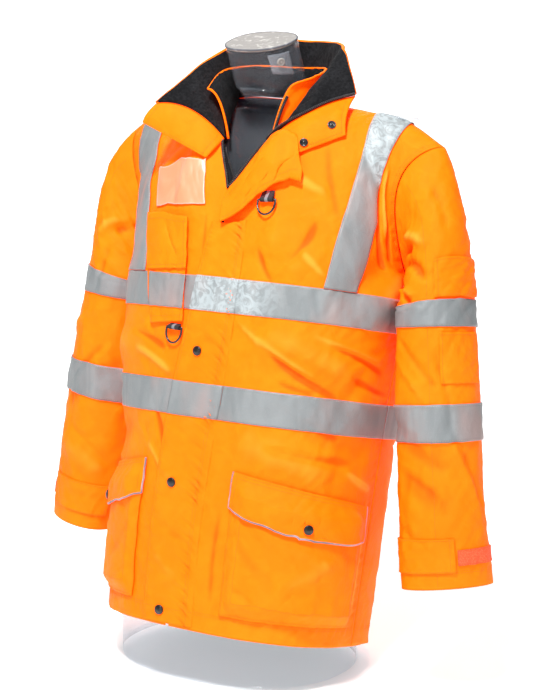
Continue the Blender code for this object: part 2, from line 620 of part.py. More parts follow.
# --- bellows pockets on the lower fronts --------------------------------------------------------
BAG = (0.290, 0.930, 0.030, 0.196)     # columns, then rows
BAG_DEPTH = {1: 0.017, -1: 0.0105}
BAG_WALL = 0.0018
FLAP_STAND = {1: 0.0165, -1: 0.0125}   # how far a pocket's flap stands off the panel
for side, word in ((1, "left"), (-1, "right")):
    front = fronts[side]
    c = np.linspace(BAG[0], BAG[1], 13)[None, :]
    up = np.linspace(0, 1, 8)[:, None]
    across = (c - BAG[0]) / (BAG[1] - BAG[0])
    r = BAG[2] + (BAG[3] - 0.026 * across - BAG[2]) * up
    gusset = ease(across / 0.10) * ease((1 - across) / 0.10) * ease(up / 0.14)
    depth = BAG_DEPTH[side] * (1 - 0.35 * up) * (0.75 + 0.25 * np.sin(math.pi * across))
    laid(f"pocket_{word}", front, c, r, "orange", 0.0016 + depth * gusset, BAG_WALL)
    c = np.linspace(BAG[0] - 0.010, BAG[1] + 0.010, 13)[None, :]
    fall = np.linspace(0, 1, 6)[:, None]
    across = (c - c.min()) / (c.max() - c.min())
    seam = 0.238 - 0.030 * across
    drop = 0.052 + 0.014 * np.sin(math.pi * across)
    ends = ease(across / 0.16 + 0.1) * ease((1 - across) / 0.16 + 0.1)
    stand = 0.0016 + FLAP_STAND[side] * ease(fall / 0.55) * ends
    flap_c, flap_r = np.broadcast_arrays(c, seam - drop * fall)
    laid(f"pocket_flap_{word}", front, flap_c[::-1], flap_r[::-1], "orange", stand[::-1] + 0.0004, 0.0024)


# --- snaps --------------------------------------------------------------------------------------
def local_frame(panel, column, row, out):
    """A point on a panel with its normal, the way across and the way up, all square."""
    column, row, out = (np.array(k, float) for k in (column, row, out))
    p = panel.at(column, row, out)
    n = panel.at(column, row, out + 0.01) - p
    n /= np.linalg.norm(n)
    up = panel.at(column, row + 0.004, out) - p
    up -= n * np.dot(up, n)
    up /= np.linalg.norm(up)
    return p, n, np.cross(up, n), up


def stud(name, panel, column, row, out, radius, height, finish):
    """A low round stud: a disc with a bevelled top."""
    p, n, across, up = local_frame(panel, column, row, out)
    a = np.arange(12) / 12 * 2 * math.pi
    circle = np.cos(a)[:, None] * across + np.sin(a)[:, None] * up
    levels = ((radius, 0.0), (radius, height * 0.55), (radius * 0.70, height))
    points = np.concatenate([p + circle * s + n * z for s, z in levels])
    faces = [tuple(range(12)), tuple(range(24, 36))]
    for level in range(2):
        for k in range(12):
            i, j = level * 12 + k, level * 12 + (k + 1) % 12
            faces.append((i, j, j + 12, i + 12))
    return add_object(name, points, faces, finish)


SNAP = (0.0072, 0.0036)
for k, row in enumerate((0.404, 0.209, 0.022)):
    stud(f"flap_snap_{k + 1}", flap, -0.012, row, GAP, *SNAP, "dark")

# --- webbing loops and their D-rings ------------------------------------------------------------
RING_WIRE = 0.0016             # radius
RING_WIDTH = 0.028
RING_DROP = 0.023
LOOP_WIDTH = 0.020
LOOP_HOLE = 0.0024             # half height of the webbing's loop round the bar
WEB = 0.0013


def d_ring_and_loop(word, panel, column, row, out, tail_length):
    """A webbing loop sewn flat to the front, and a D-ring whose straight bar turns in it."""
    p, n, across, up = local_frame(panel, column, row, out + LOOP_HOLE + WEB)
    a = np.linspace(0, math.pi, 9)
    corner = RING_WIDTH / 2
    arc = [(corner * math.cos(t), -0.006 - (RING_DROP - 0.006) * math.sin(t)) for t in a]
    bar = [(corner * k, 0.0) for k in (-1.0, -0.5, 0.0, 0.5)]
    path = np.array([(corner, 0.0), *arc, *bar])
    following = np.roll(path, -1, axis=0) - np.roll(path, 1, axis=0)
    following /= np.linalg.norm(following, axis=1, keepdims=True)
    side_way = np.stack([following[:, 1], -following[:, 0]], axis=1)
    turn = np.arange(8) / 8 * 2 * math.pi
    flat = path[:, None, :] + side_way[:, None, :] * (np.cos(turn) * RING_WIRE)[None, :, None]
    points = p + flat[..., :1] * across + flat[..., 1:] * up + (np.sin(turn) * RING_WIRE)[None, :, None] * n
    count = len(path)
    faces = []
    for i in range(count):
        for k in range(8):
            i2, k2 = (i + 1) % count, (k + 1) % 8
            faces.append((i * 8 + k, i * 8 + k2, i2 * 8 + k2, i2 * 8 + k))
    add_object(f"d_ring_{word}", points.reshape(-1, 3), faces, "dark", world(p))
    # the loop: an oval eye in cross section, with a flat tail above it
    eye = np.arange(10) / 10 * 2 * math.pi
    inner = np.stack([np.cos(eye) * LOOP_HOLE, np.sin(eye) * LOOP_HOLE], axis=1)
    outer = np.stack([np.cos(eye) * (LOOP_HOLE + WEB), np.sin(eye) * (LOOP_HOLE + WEB)], axis=1)
    tail = np.sin(eye) > 0.75
    outer[tail, 1] += tail_length
    outer[tail, 0] = np.clip(outer[tail, 0], -LOOP_HOLE - WEB, -LOOP_HOLE)
    points = []
    for x in (-LOOP_WIDTH / 2, LOOP_WIDTH / 2):
        for outline in (outer, inner):
            points.append(p + across * x + outline[:, :1] * n + outline[:, 1:] * up)
    faces = []
    for k in range(10):
        m = (k + 1) % 10
        faces.append((k, m, 20 + m, 20 + k))
        faces.append((10 + k, 30 + k, 30 + m, 10 + m))
        faces.append((k, 10 + k, 10 + m, m))
        faces.append((20 + k, 20 + m, 30 + m, 30 + k))
    add_object(f"webbing_{word}", np.concatenate(points), faces, "webbing")


d_ring_and_loop("right", chest, 0.180, 0.4345, 0.0009, 0.002)
d_ring_and_loop("left", fronts[1], 0.262, 0.629, 0.0014, 0.011)

# --- collar, zips and the inner jacket ----------------------------------------------------------
# place round the neck (-1 right front edge, 0 centre back, 1 left front edge), top edge x, v, h
COLLAR_TOP = np.array([
    (-1.00, -0.134, -0.184, 0.757),
    (-0.80, -0.116, -0.157, 0.792),
    (-0.60, -0.097, -0.117, 0.838),
    (-0.35, -0.080, -0.050, 0.881),
    (0.00, 0.000, 0.014, 0.896),
    (0.35, 0.076, -0.020, 0.887),
    (0.60, 0.098, -0.048, 0.873),
    (0.80, 0.114, -0.057, 0.846),
    (1.00, 0.134, -0.063, 0.807),
])
INNER_TOP = np.array([
    (-1.00, -0.070, -0.150, 0.786),
    (-0.60, -0.074, -0.098, 0.828),
    (-0.30, -0.060, -0.036, 0.846),
    (0.00, 0.000, -0.004, 0.852),
    (0.30, 0.062, -0.036, 0.848),
    (0.60, 0.077, -0.072, 0.832),
    (1.00, 0.060, -0.118, 0.806),
])
COLLAR_LIFT = 0.0012
LAID_OPEN = np.array([0.012, -0.030, -0.016])   # how the outer collar's left end is pulled outwards


def neckline(place):
    """Neckline points by place round the neck: the back neck within a half, the fronts beyond."""
    place = np.asarray(place, float)
    size = np.abs(place)
    front = smooth(FRONT_NECK, 0.36 - (0.36 - NECK_COLUMN) * np.clip((size - 0.5) / 0.5, 0, 1))
    rear = smooth(BACK_NECK, 0.36 * np.clip(size / 0.5, 0, 1))
    p = np.where((size > 0.5)[..., None], front, rear)
    return p * np.stack([np.sign(place), 1 + 0 * place, 1 + 0 * place], axis=-1)


def collar_surface(place, rise, top_table, inset, laid_open):
    """A stand collar: from the neckline up, first steep and then flaring out to its top edge."""
    base = neckline(place)
    middle = np.array([0.0, -0.055, 0.0])
    inward = (middle - base) * np.array([1.0, 1.0, 0.0])
    inward /= np.linalg.norm(inward, axis=-1, keepdims=True)
    base = base + inward * inset + np.array([0.0, 0.0, COLLAR_LIFT])
    top = smooth(top_table, place)
    turned = ease((np.abs(np.asarray(place, float)) - 0.45) / 0.35)[..., None]
    opened = ease((np.asarray(place, float) - 0.55) / 0.45)[..., None]
    knee = base * 0.5 + top * 0.5 + inward * 0.004 + np.array([0.0, -0.006, 0.034]) * turned
    knee = knee + laid_open * opened
    w = np.asarray(rise, float)[..., None]
    return base * (1 - w) ** 2 + knee * 2 * w * (1 - w) + top * w**2


def collar_panel(top_table, inset, ends, rises, laid_open):
    """The collar as a panel whose normals point away from the neck."""
    places = np.array([-1.0, -0.85, -0.7, -0.5, -0.34, -0.17, 0.0, 0.17, 0.34, 0.5, 0.7, 0.85, 1.0]) * ends
    return Panel(rises, places, lambda c, r: collar_surface(c, r, top_table, inset, laid_open), -1)


COLLAR_RISES = np.array([0.0, 0.25, 0.5, 0.75, 1.0])
LINING = 0.0022
collar = collar_panel(COLLAR_TOP, 0.0, 0.996, COLLAR_RISES, LAID_OPEN)
wall("collar_outer", collar.points, collar.points - collar.normals * SHELL, "orange")
lining_in = SHELL + 0.0015
wall("collar_lining", collar.points - collar.normals * lining_in,
     collar.points - collar.normals * (lining_in + LINING), "fleece")
inner = collar_panel(INNER_TOP, 0.0074, 0.97, COLLAR_RISES, 0.0)
wall("inner_collar", inner.points, inner.points - inner.normals * 0.0016, "orange")
wall("inner_collar_lining", inner.points - inner.normals * 0.0020,
     inner.points - inner.normals * 0.0036, "fleece")

# --- collar tab on the left, turned-down facing on the right -------------------------------------


def turned_down(name, end, inside, far, start_gap, reach, bow):
    """A strip that carries on past a collar's end and turns down to a far line."""
    away = end - inside
    away /= np.linalg.norm(away, axis=-1, keepdims=True)
    start = end + away * start_gap
    knee = (start + far) / 2 + away * reach + np.array([0.0, -1.0, 0.2]) * bow
    w = np.linspace(0, 1, 6)[:, None, None]
    grid = start * (1 - w) ** 2 + knee * 2 * w * (1 - w) + far * w**2
    side_way = np.gradient(grid, axis=1)
    down = np.gradient(grid, axis=0)
    n = np.cross(side_way, down)
    n /= np.linalg.norm(n, axis=-1, keepdims=True)
    if n[..., 1].mean() > 0:
        n = -n
    wall(name, grid + n * TURNED / 2, grid - n * TURNED / 2, "orange")


def line(start, end, count):
    t = np.linspace(0, 1, count)[:, None]
    return np.array(start) * (1 - t) + np.array(end) * t


TURNED = 0.0024                # two layers of shell cloth
TAB_FREE = ((0.104, -0.143, 0.708), (0.155, -0.108, 0.742))      # free edge of the tab
FACING_FREE = ((-0.050, -0.158, 0.687), (-0.149, -0.192, 0.728))  # free edge of the facing
middle = collar.points - collar.normals * SHELL / 2
turned_down("collar_tab", middle[:, -1], middle[:, -2], line(*TAB_FREE, len(middle)),
            start_gap=0.0032, reach=0.004, bow=0.022)
turned_down("collar_facing_right", middle[:, 0], middle[:, 1], line(*FACING_FREE, len(middle)),
            start_gap=0.0014, reach=0.006, bow=0.006)

# --- zips ---------------------------------------------------------------------------------------
ZIP_TAPE = 0.0015


def edge_strip(name, side, rows, near, far, out, finish):
    """A strip along a front's open edge: distances from the edge into the opening, and its depth."""
    front = fronts[side]
    rows = np.array(rows, float)
    p = front.at(0.0, rows)
    n = front.at(0.0, rows, 1.0) - p
    into = p - front.at(0.02, rows)
    into /= np.linalg.norm(into, axis=-1, keepdims=True)
    near, far = np.broadcast_arrays(near, far, rows)[:2]
    grid = np.stack([p + into * k[:, None] for k in (near, (near + far) / 2, far)], axis=1)
    wall(name, grid + (n * out)[:, None], grid + (n * (out - ZIP_TAPE))[:, None], finish)


zip_rows = np.array([V_BOTTOM + 0.001, 0.720, 0.735, 0.750, 0.765, 0.780, 0.7940])
opening = np.clip((zip_rows - V_BOTTOM) / 0.03, 0, 1)
for side, word in ((1, "left"), (-1, "right")):
    edge_strip(f"zip_outer_{word}", side, zip_rows, 0.0007, 0.0026 + 0.0065 * opening, -0.0002, "dark")
    edge_strip(f"zip_inner_{word}", side, zip_rows[1:], 0.0010, 0.0030 + 0.0110 * opening[1:],
               -SHELL - 0.0008, "dark")


def slider(row, half_width, half_length, depth):
    """The outer zip's slider, in the slit at the foot of the V."""
    middle = (fronts[1].at(0.0, row) + fronts[-1].at(0.0, row)) / 2
    up = fronts[1].at(0.0, row + 0.01) - fronts[1].at(0.0, row)
    up = np.array([0.0, up[1], up[2]]) / np.linalg.norm(up[1:])
    across = np.array([1.0, 0.0, 0.0])
    n = np.cross(across, up)
    outline = ((-0.7, -1.0), (0.7, -1.0), (1.0, 0.2), (1.0, 1.0), (-1.0, 1.0), (-1.0, 0.2))
    points = [middle + across * a * half_width + up * b * half_length + n * z
              for z in (-depth / 3, depth * 2 / 3) for a, b in outline]
    faces = [tuple(range(6)), tuple(range(6, 12))]
    faces += [(k, (k + 1) % 6, (k + 1) % 6 + 6, k + 6) for k in range(6)]
    add_object("zip_slider", np.array(points), faces, "dark")


slider(0.688, 0.0026, 0.0065, 0.0050)

# --- back lining ----------------------------------------------------------------------------------
LINING_THICK = 0.0012
LINING_COLUMN = 0.36           # the lining ends under the neck points
band("back_lining", back, (-LINING_COLUMN, LINING_COLUMN), (0.600, back.rows[-1]), "navy",
     -SHELL - GAP - LINING_THICK, LINING_THICK)

# --- pocket snaps ---------------------------------------------------------------------------------
for side, word in ((1, "left"), (-1, "right")):
    stud(f"pocket_snap_{word}", fronts[side], 0.615, 0.171, FLAP_STAND[side] + 0.0048, *SNAP, "dark")

# --- the form -----------------------------------------------------------------------------------
FORM_AROUND = 24
FORM_ROWS = np.array(sorted([*FORM[:, 0], 0.110, 0.310, 0.500, 0.600, 0.670, 0.848]))


def form_grid(inset):
    """Rings of the form, moved in by the inset, and the topmost one down by it as well."""
    turns = np.arange(FORM_AROUND) / FORM_AROUND * 2 * math.pi
    at = np.column_stack([FORM_ROWS, smooth(FORM, FORM_ROWS)])
    grid = []
    for h, v, half, front, rear, tilt in at:
        depth = np.where(np.cos(turns) > 0, front, rear) - inset
        c = np.abs(np.cos(turns)) / depth
        s = np.abs(np.sin(turns)) / (half - inset)
        r = (c**2.3 + s**2.3) ** (-1 / 2.3)
        local = -r * np.cos(turns)
        angle = math.radians(tilt)
        level = h - inset if h == FORM_ROWS[-1] else h
        grid.append(np.stack([r * np.sin(turns), v + local * math.cos(angle),
                              level + local * math.sin(angle)], axis=-1))
    return np.array(grid)


wall("form_shell", form_grid(0.0), form_grid(FORM_WALL), "clear", closed=True, capped=True)

foot_angle = np.arange(32) / 32 * 2 * math.pi


def foot_ring(scale, z):
    """A ring of the foot plate, as garment points of level scene points."""
    x = FOOT[0] * scale * np.sin(foot_angle)
    y = -FOOT[1] * scale * np.cos(foot_angle) - HEM_Y
    up = z - HEM_Z
    return np.stack([x, y * math.cos(LEAN) - up * math.sin(LEAN), y * math.sin(LEAN) + up * math.cos(LEAN)],
                    axis=-1)


rings = np.concatenate([foot_ring(1.0, 0.0), foot_ring(1.0, FOOT[2] - 0.001), foot_ring(0.99, FOOT[2])])
n = len(foot_angle)
faces = [tuple(range(n)), tuple(range(2 * n, 3 * n))]
for level in range(2):
    for k in range(n):
        a, b = level * n + k, level * n + (k + 1) % n
        faces.append((a, b, b + n, a + n))
add_object("form_foot", rings, faces, "clear")
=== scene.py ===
"""Hi-vis work jacket worn by a clear torso form: the looks over the CAD frame.

Garment frame: x to the wearer's left, v to the back, h up the body, in metres. world() leans it back.
A cut panel is a surface of two parameters, column round the body and row up it, with its creases
added along its normals. Whatever is sewn on a panel is read off the same surface, moved outwards.
"""
import json
import math

import bpy
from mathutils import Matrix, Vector
import numpy as np

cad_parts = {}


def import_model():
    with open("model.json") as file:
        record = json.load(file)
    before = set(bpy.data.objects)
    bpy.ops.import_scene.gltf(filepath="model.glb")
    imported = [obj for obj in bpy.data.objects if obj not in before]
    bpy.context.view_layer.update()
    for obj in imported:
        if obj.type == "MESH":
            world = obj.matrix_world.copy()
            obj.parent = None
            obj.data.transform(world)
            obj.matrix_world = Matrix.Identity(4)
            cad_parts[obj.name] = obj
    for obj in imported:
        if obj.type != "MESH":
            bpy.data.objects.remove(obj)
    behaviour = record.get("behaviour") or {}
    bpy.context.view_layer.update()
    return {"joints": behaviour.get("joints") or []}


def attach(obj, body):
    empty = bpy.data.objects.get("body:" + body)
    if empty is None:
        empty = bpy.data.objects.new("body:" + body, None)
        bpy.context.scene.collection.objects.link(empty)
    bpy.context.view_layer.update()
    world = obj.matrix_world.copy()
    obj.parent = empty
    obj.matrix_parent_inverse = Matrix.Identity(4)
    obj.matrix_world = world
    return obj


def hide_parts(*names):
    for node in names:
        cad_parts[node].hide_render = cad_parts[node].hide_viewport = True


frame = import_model()

# ---------------------------------------------------------------------------------------------
# The garment's sizes, as the solids have them
# ---------------------------------------------------------------------------------------------
LEAN = math.radians(12.3)
HEM_Y = -0.021
HEM_Z = 0.053
SHOULDER_TIP = 0.03            # drop of the shoulder line towards the wearer's left
SHELL = 0.002
LOW_TAPE = (0.308, 0.358)
HIGH_TAPE = (0.463, 0.513)
ARMPIT = 0.545
YOKE = 0.250
TOP = ARMPIT + YOKE - 0.0005
V_BOTTOM = 0.705
FLAP = (-0.046, 0.044)         # the storm flap's edges, wearer's right and left of the middle
FLAP_THICK = 0.0025
SIDES = ((1, "left"), (-1, "right"))
ZIP_EDGE = 0.012
NECK_COLUMN = 0.15
FRONT_BULGE = 2.8
BACK_BULGE = 2.3
RIGHT_FLATTER = 0.6            # how much less the lower right front bulges
RIGHT_ARMHOLE = -0.45          # the right armhole stands out instead, by this share of the left one's curve
# x, v, h by which the middle of the left armhole curves in, in front and behind
ARMHOLE_IN = {False: np.array([0.028, 0.004, 0.0]), True: np.array([0.020, -0.006, 0.0])}
# row, half width, depth in front, depth behind
BODY = np.array([
    (-0.01, 0.203, 0.166, 0.166),
    (0.150, 0.208, 0.170, 0.160),
    (0.308, 0.213, 0.174, 0.154),
    (0.420, 0.220, 0.180, 0.150),
    (0.513, 0.225, 0.182, 0.148),
    (0.560, 0.224, 0.178, 0.146),
])
# column, x, v, h of the top edge: the front neck, the back neck, and the shoulder seam to its tip
FRONT_NECK = np.array([
    (0.00, 0.000, -0.142, 0.700),
    (0.15, 0.040, -0.134, 0.717),
    (0.27, 0.066, -0.104, 0.752),
    (0.36, 0.084, -0.060, 0.792),
])
BACK_NECK = np.array([
    (0.00, 0.000, 0.022, 0.808),
    (0.15, 0.042, 0.008, 0.806),
    (0.27, 0.070, -0.024, 0.801),
    (0.36, 0.084, -0.060, 0.792),
])
SHOULDER = np.array([
    (0.36, 0.084, -0.060, 0.792),
    (0.60, 0.150, -0.044, 0.787),
    (0.82, 0.215, -0.032, 0.776),
    (1.00, 0.271, -0.024, 0.746),
])
# row, how far the storm flap's right edge comes in towards its left edge
NARROWING = np.array([
    (0.00, 0.000),
    (0.20, 0.000),
    (0.36, 0.003),
    (0.45, 0.013),
    (0.55, 0.023),
    (0.62, 0.033),
])
# x, v, h of a ring's middle, half width, half depth, turn of the oval in degrees
SLEEVE = np.array([
    (0.2860, -0.015, 0.500, 0.054, 0.062, 0.0),
    (0.301, -0.006, 0.371, 0.061, 0.061, 10.0),
    (0.317, 0.008, 0.240, 0.061, 0.056, 22.0),
    (0.337, 0.023, 0.112, 0.066, 0.049, 35.0),
])
# row, how far the centre front hangs to the side
DRIFT = np.array([
    (0.00, -0.013),
    (0.15, -0.018),
    (0.25, -0.013),
    (0.36, 0.000),
    (0.50, 0.010),
    (0.58, 0.008),
    (0.66, 0.000),
    (0.80, 0.000),
])
# h and v of a ring's middle, half width, depth in front, depth behind, tilt in degrees
FORM = np.array([
    (-0.0452, 0.012, 0.186, 0.148, 0.150, 12.3),
    (0.020, 0.004, 0.190, 0.154, 0.144, 4.0),
    (0.200, 0.000, 0.192, 0.155, 0.138, 0.0),
    (0.420, 0.000, 0.198, 0.160, 0.130, 0.0),
    (0.560, 0.000, 0.200, 0.148, 0.122, 0.0),
    (0.640, -0.010, 0.198, 0.122, 0.104, 0.0),
    (0.700, -0.025, 0.195, 0.088, 0.080, 0.0),
    (0.742, -0.034, 0.190, 0.054, 0.051, 0.0),
    (0.7768, -0.046, 0.166, 0.025, 0.020, 0.0),
    (0.7836, -0.050, 0.128, 0.016, 0.013, 0.0),
    (0.7839, -0.0535, 0.0765, 0.020, 0.024, 0.0),
    (0.7866, -0.0655, 0.0545, 0.040, 0.037, 0.0),
    (0.803, -0.080, 0.054, 0.051, 0.047, 2.0),
    (0.830, -0.097, 0.053, 0.052, 0.050, 12.0),
    (0.869, -0.124, 0.053, 0.050, 0.048, 27.0),
])


def hermite(u, start, leave, end, arrive):
    """Cubic from start to end: u from 0 to 1, leave and arrive the slopes at its ends."""
    return ((2 * u**3 - 3 * u**2 + 1) * start + (u**3 - 2 * u**2 + u) * leave
            + (3 * u**2 - 2 * u**3) * end + (u**3 - u**2) * arrive)


def world(points):
    """Garment x, v, h to scene x, y, z: the shoulders tip sideways, then all turns by the lean."""
    p = np.asarray(points, float)
    h = p[..., 2] - SHOULDER_TIP * p[..., 0] * ease((p[..., 2] - 0.45) / 0.30)
    y = HEM_Y + p[..., 1] * math.cos(LEAN) + h * math.sin(LEAN)
    z = HEM_Z - p[..., 1] * math.sin(LEAN) + h * math.cos(LEAN)
    return np.stack([p[..., 0], y, z], axis=-1)


def unleaned(y, z):
    """Scene y and z, or a step in them, as garment v and h: the lean turned back."""
    return y * math.cos(LEAN) - z * math.sin(LEAN), y * math.sin(LEAN) + z * math.cos(LEAN)


def smooth(table, at):
    """Cubic curve through a table's rows, first column the position, slopes from the neighbours."""
    knots = table[:, 0]
    values = table[:, 1:]
    slopes = np.gradient(values, knots, axis=0)
    at = np.clip(np.asarray(at, float), knots[0], knots[-1])
    i = np.clip(np.searchsorted(knots, at, side="right") - 1, 0, len(knots) - 2)
    span = knots[i + 1] - knots[i]
    u = ((at - knots[i]) / span)[..., None]
    span = span[..., None]
    return hermite(u, values[i], span * slopes[i], values[i + 1], span * slopes[i + 1])


def ease(x):
    """0 to 1 with level ends."""
    x = np.clip(x, 0.0, 1.0)
    return x * x * (3 - 2 * x)


def unit(v):
    return v / np.maximum(np.linalg.norm(v, axis=-1, keepdims=True), 1e-12)


def vec(*xyz):
    return np.stack(np.broadcast_arrays(*[np.asarray(k, float) for k in xyz]), axis=-1)


# ---------------------------------------------------------------------------------------------
# Folds, puckers and ripples: heights over a surface, by distances in metres
# ---------------------------------------------------------------------------------------------
def creases(table, x, y, girth, length=1.0):
    """Sum of soft ridges, steeper on one side. Each runs along a bowed line and fades at its ends: with d the
    distance over the half width, height * (1 + 0.8 d) * exp(-d ** 2) * (1 - (2t - 1) ** 4), in metres."""
    height = np.zeros(np.broadcast(x, y).shape)
    for x0, y0, x1, y1, width, size, bow in table:
        dx, dy = (x1 - x0) * girth, (y1 - y0) * length
        far = math.hypot(dx, dy)
        px, py = (x - x0) * girth, (y - y0) * length
        t = (px * dx + py * dy) / far**2
        off = (px * dy - py * dx) / far - bow * np.sin(math.pi * np.clip(t, 0, 1))
        fade = np.clip(1 - (2 * np.clip(t, 0, 1) - 1) ** 4, 0, 1)
        share = off / width
        height = height + size * (1 + 0.8 * share) * np.exp(-share**2) * fade
    return height


def ripples(x, y, seed, length, height, along=0.0, stretch=1.0):
    """Uneven small waves: seven sines of random direction and phase, warped by two slow ones."""
    random = np.random.RandomState(seed)
    total = np.zeros(np.broadcast(x, y).shape)
    warp = length * 1.3
    wx = x + warp * 0.5 * np.sin(y / warp + seed) + warp * 0.3 * np.sin(1.7 * x / warp + 2.0)
    wy = y + warp * 0.5 * np.sin(x / warp + 2 * seed)
    for _ in range(7):
        a = along + random.normal(0, 0.5 if stretch > 1 else 3.0)
        k = 2 * math.pi / (length * random.uniform(0.6, 1.8))
        total = total + np.sin(k * (wx * math.cos(a) + wy * math.sin(a)) + random.uniform(0, 6.28))
    return height * total / 3.0


def puckers(along, across, seed, pitch, reach, height):
    """Short wrinkles that a line of stitching draws up: waves along the seam that die away from it."""
    random = np.random.RandomState(seed)
    wave = np.zeros(np.broadcast(along, across).shape)
    for k in range(5):
        f = 2 * math.pi / (pitch * random.uniform(0.7, 1.7))
        wave = wave + np.sin(f * (along + 0.35 * np.abs(across)) + random.uniform(0, 6.28))
    return height * wave / 2.2 * np.exp(-np.abs(across) / reach)


# ---------------------------------------------------------------------------------------------
# Surfaces of the body
# ---------------------------------------------------------------------------------------------
BODY_GIRTH = 0.32
SLEEVE_GIRTH = 0.39


def quarter(angle, half_width, depth, bulge):
    """A quarter of a superellipse in polar form: 0 at the middle, 90 degrees at the side."""
    c = np.abs(np.cos(angle)) / depth
    s = np.abs(np.sin(angle)) / half_width
    r = (c**bulge + s**bulge) ** (-1 / bulge)
    return r * np.sin(angle), r * np.cos(angle)


def body_point(column, row, back, side):
    """Left half of the body surface. Rings up to the armpit, then a cubic patch to the top edge."""
    column, row = np.broadcast_arrays(np.asarray(column, float), np.asarray(row, float))
    size = smooth(BODY, np.minimum(row, ARMPIT))
    depth = size[..., 2] if back else size[..., 1]
    flatter = RIGHT_FLATTER * ease((0.42 - row) / 0.22) * (np.asarray(side) < 0)
    x, v = quarter(column * math.pi / 2, size[..., 0], depth, BACK_BULGE if back else FRONT_BULGE - flatter)
    sign = 1 if back else -1
    ring = vec(x, sign * v, np.minimum(row, ARMPIT))
    neckline = smooth(BACK_NECK if back else FRONT_NECK, column)
    top = np.where((column > 0.36)[..., None], smooth(SHOULDER, column), neckline)
    flank = ease((column - 0.62) / 0.38)[..., None]
    rise = np.array([0.0, 0.0, 1.0]) * (1 - flank) + np.array([-0.06, sign * 0.85, 0.65]) * flank
    over = ease((column - 0.04) / 0.26)[..., None]
    neck = np.array([0.0, -0.30, 0.95]) if back else np.array([0.0, 0.20, 1.0])
    arrive = neck * (1 - over) + np.array([0.0, -sign * 0.80, 0.0]) * over
    reach = np.linalg.norm(top - ring, axis=-1, keepdims=True)
    u = np.clip((row - ARMPIT) / YOKE, 0.0, 1.0)[..., None]
    patch = hermite(u, ring, rise * reach, top, arrive * reach)
    curve = np.where(np.asarray(side) > 0, 1.0, RIGHT_ARMHOLE)[..., None]
    patch = patch - ARMHOLE_IN[back] * curve * flank * 28.9 * u**3 * (1 - u) ** 2
    return np.where((row > ARMPIT)[..., None], patch, ring)


def drift(body_column, row):
    """The centre front hangs a little to one side, fading out towards the side seams."""
    shift = smooth(DRIFT, row)[..., 0] * (1 - body_column) ** 2
    return vec(shift, 0 * shift, 0 * shift)


def front_edge(row):
    """Column of the front edge: closed up to the foot of the V, then opening to the collar."""
    open_part = np.clip((row - V_BOTTOM) / (ARMPIT + YOKE - V_BOTTOM), 0.0, 1.0)
    return ZIP_EDGE + (NECK_COLUMN - ZIP_EDGE) * open_part**1.15


def front_point(column, row, side):
    """A front panel: columns run from its front edge to the side seam, and the V is cut away."""
    edge = front_edge(np.asarray(row, float))
    body_column = edge + (1 - edge) * column
    return body_point(body_column, row, back=False, side=side) * np.array([side, 1.0, 1.0]) + drift(body_column, row)


def back_point(column, row):
    p = body_point(np.abs(column), row, back=True, side=np.where(column < 0, -1, 1))
    return p * vec(np.sign(column), 1 + 0 * column, 1 + 0 * column)


def flap_point(across, row):
    """The closed front carried across the zip, by distance from the middle; narrower at the top."""
    come_in = smooth(NARROWING, row)[..., 0]
    across = across + come_in * (FLAP[1] - across) / (FLAP[1] - FLAP[0])
    column = np.arctan(np.abs(across) / 0.178) * 2 / math.pi
    p = body_point(column, row, back=False, side=1) * vec(np.sign(across), 1 + 0 * column, 1 + 0 * column)
    return p + drift(column, row)


def sleeve_ring(turn, row):
    """Oval rings along the left sleeve, row 0 under the cap and 1 at the cuff, and the way down."""
    turn, row = np.broadcast_arrays(np.asarray(turn, float), np.asarray(row, float))
    knots = np.linspace(0, 1, len(SLEEVE))
    axis = smooth(np.column_stack([knots, SLEEVE]), np.clip(row, 0, 1))
    down = unit(smooth(np.column_stack([knots, np.gradient(SLEEVE[:, :3], knots, axis=0)]), np.clip(row, 0, 1)))
    yaw = np.radians(axis[..., 5])
    wide = vec(np.cos(yaw), np.sin(yaw), 0 * yaw)
    wide = unit(wide - down * np.sum(wide * down, axis=-1, keepdims=True))
    deep = np.cross(down, wide)
    angle = turn * 2 * math.pi
    cosine = np.cos(angle - yaw)[..., None]
    sine = np.sin(angle - yaw)[..., None]
    return axis[..., :3] + wide * cosine * axis[..., 3:4] - deep * sine * axis[..., 4:5], down


def armhole(turn, side):
    """The armhole loop: from the shoulder tip down the back to the underarm, and up the front."""
    row = ARMPIT + YOKE * np.abs(1 - 2 * turn)
    front = body_point(np.ones_like(row), row, back=False, side=side)
    rear = body_point(np.ones_like(row), row, back=True, side=side)
    return np.where((turn > 0.5)[..., None], front, rear)


# turn, x, v, h: the way the sleeve leaves the armhole
LEAVE = np.array([
    (-0.125, 0.85, -0.25, -0.50),
    (0.00, 0.62, 0.00, -0.86),
    (0.125, 0.50, 0.10, -0.90),
    (0.30, 0.85, 0.25, -0.50),
    (0.42, 0.85, 0.15, -0.55),
    (0.50, 0.75, 0.00, -0.65),
    (0.58, 0.95, -0.05, -0.25),
    (0.70, 1.00, -0.10, -0.20),
    (0.875, 0.85, -0.25, -0.50),
    (1.00, 0.62, 0.00, -0.86),
])


def sleeve_surface(turn, row, side):
    """A sleeve, as a left one. Rows below 0 are a cubic patch from the armhole, the others rings."""
    turn = turn % 1.0
    start = armhole(turn, side)
    leave = smooth(LEAVE, turn)
    first, down = sleeve_ring(turn, np.zeros_like(row))
    reach = 0.9 * np.linalg.norm(first - start, axis=-1, keepdims=True)
    under = ease(1 - np.abs(turn - 0.5) / 0.15)[..., None] * np.array([1.0, 0.0, 0.0])
    start = start + leave * 0.0006 + 0.0012 * under
    u = np.clip(row + 1, 0.0, 1.0)[..., None]
    cap = hermite(u, start, leave * reach, first, down * reach)
    return np.where((row < 0)[..., None], cap, sleeve_ring(turn, row)[0])


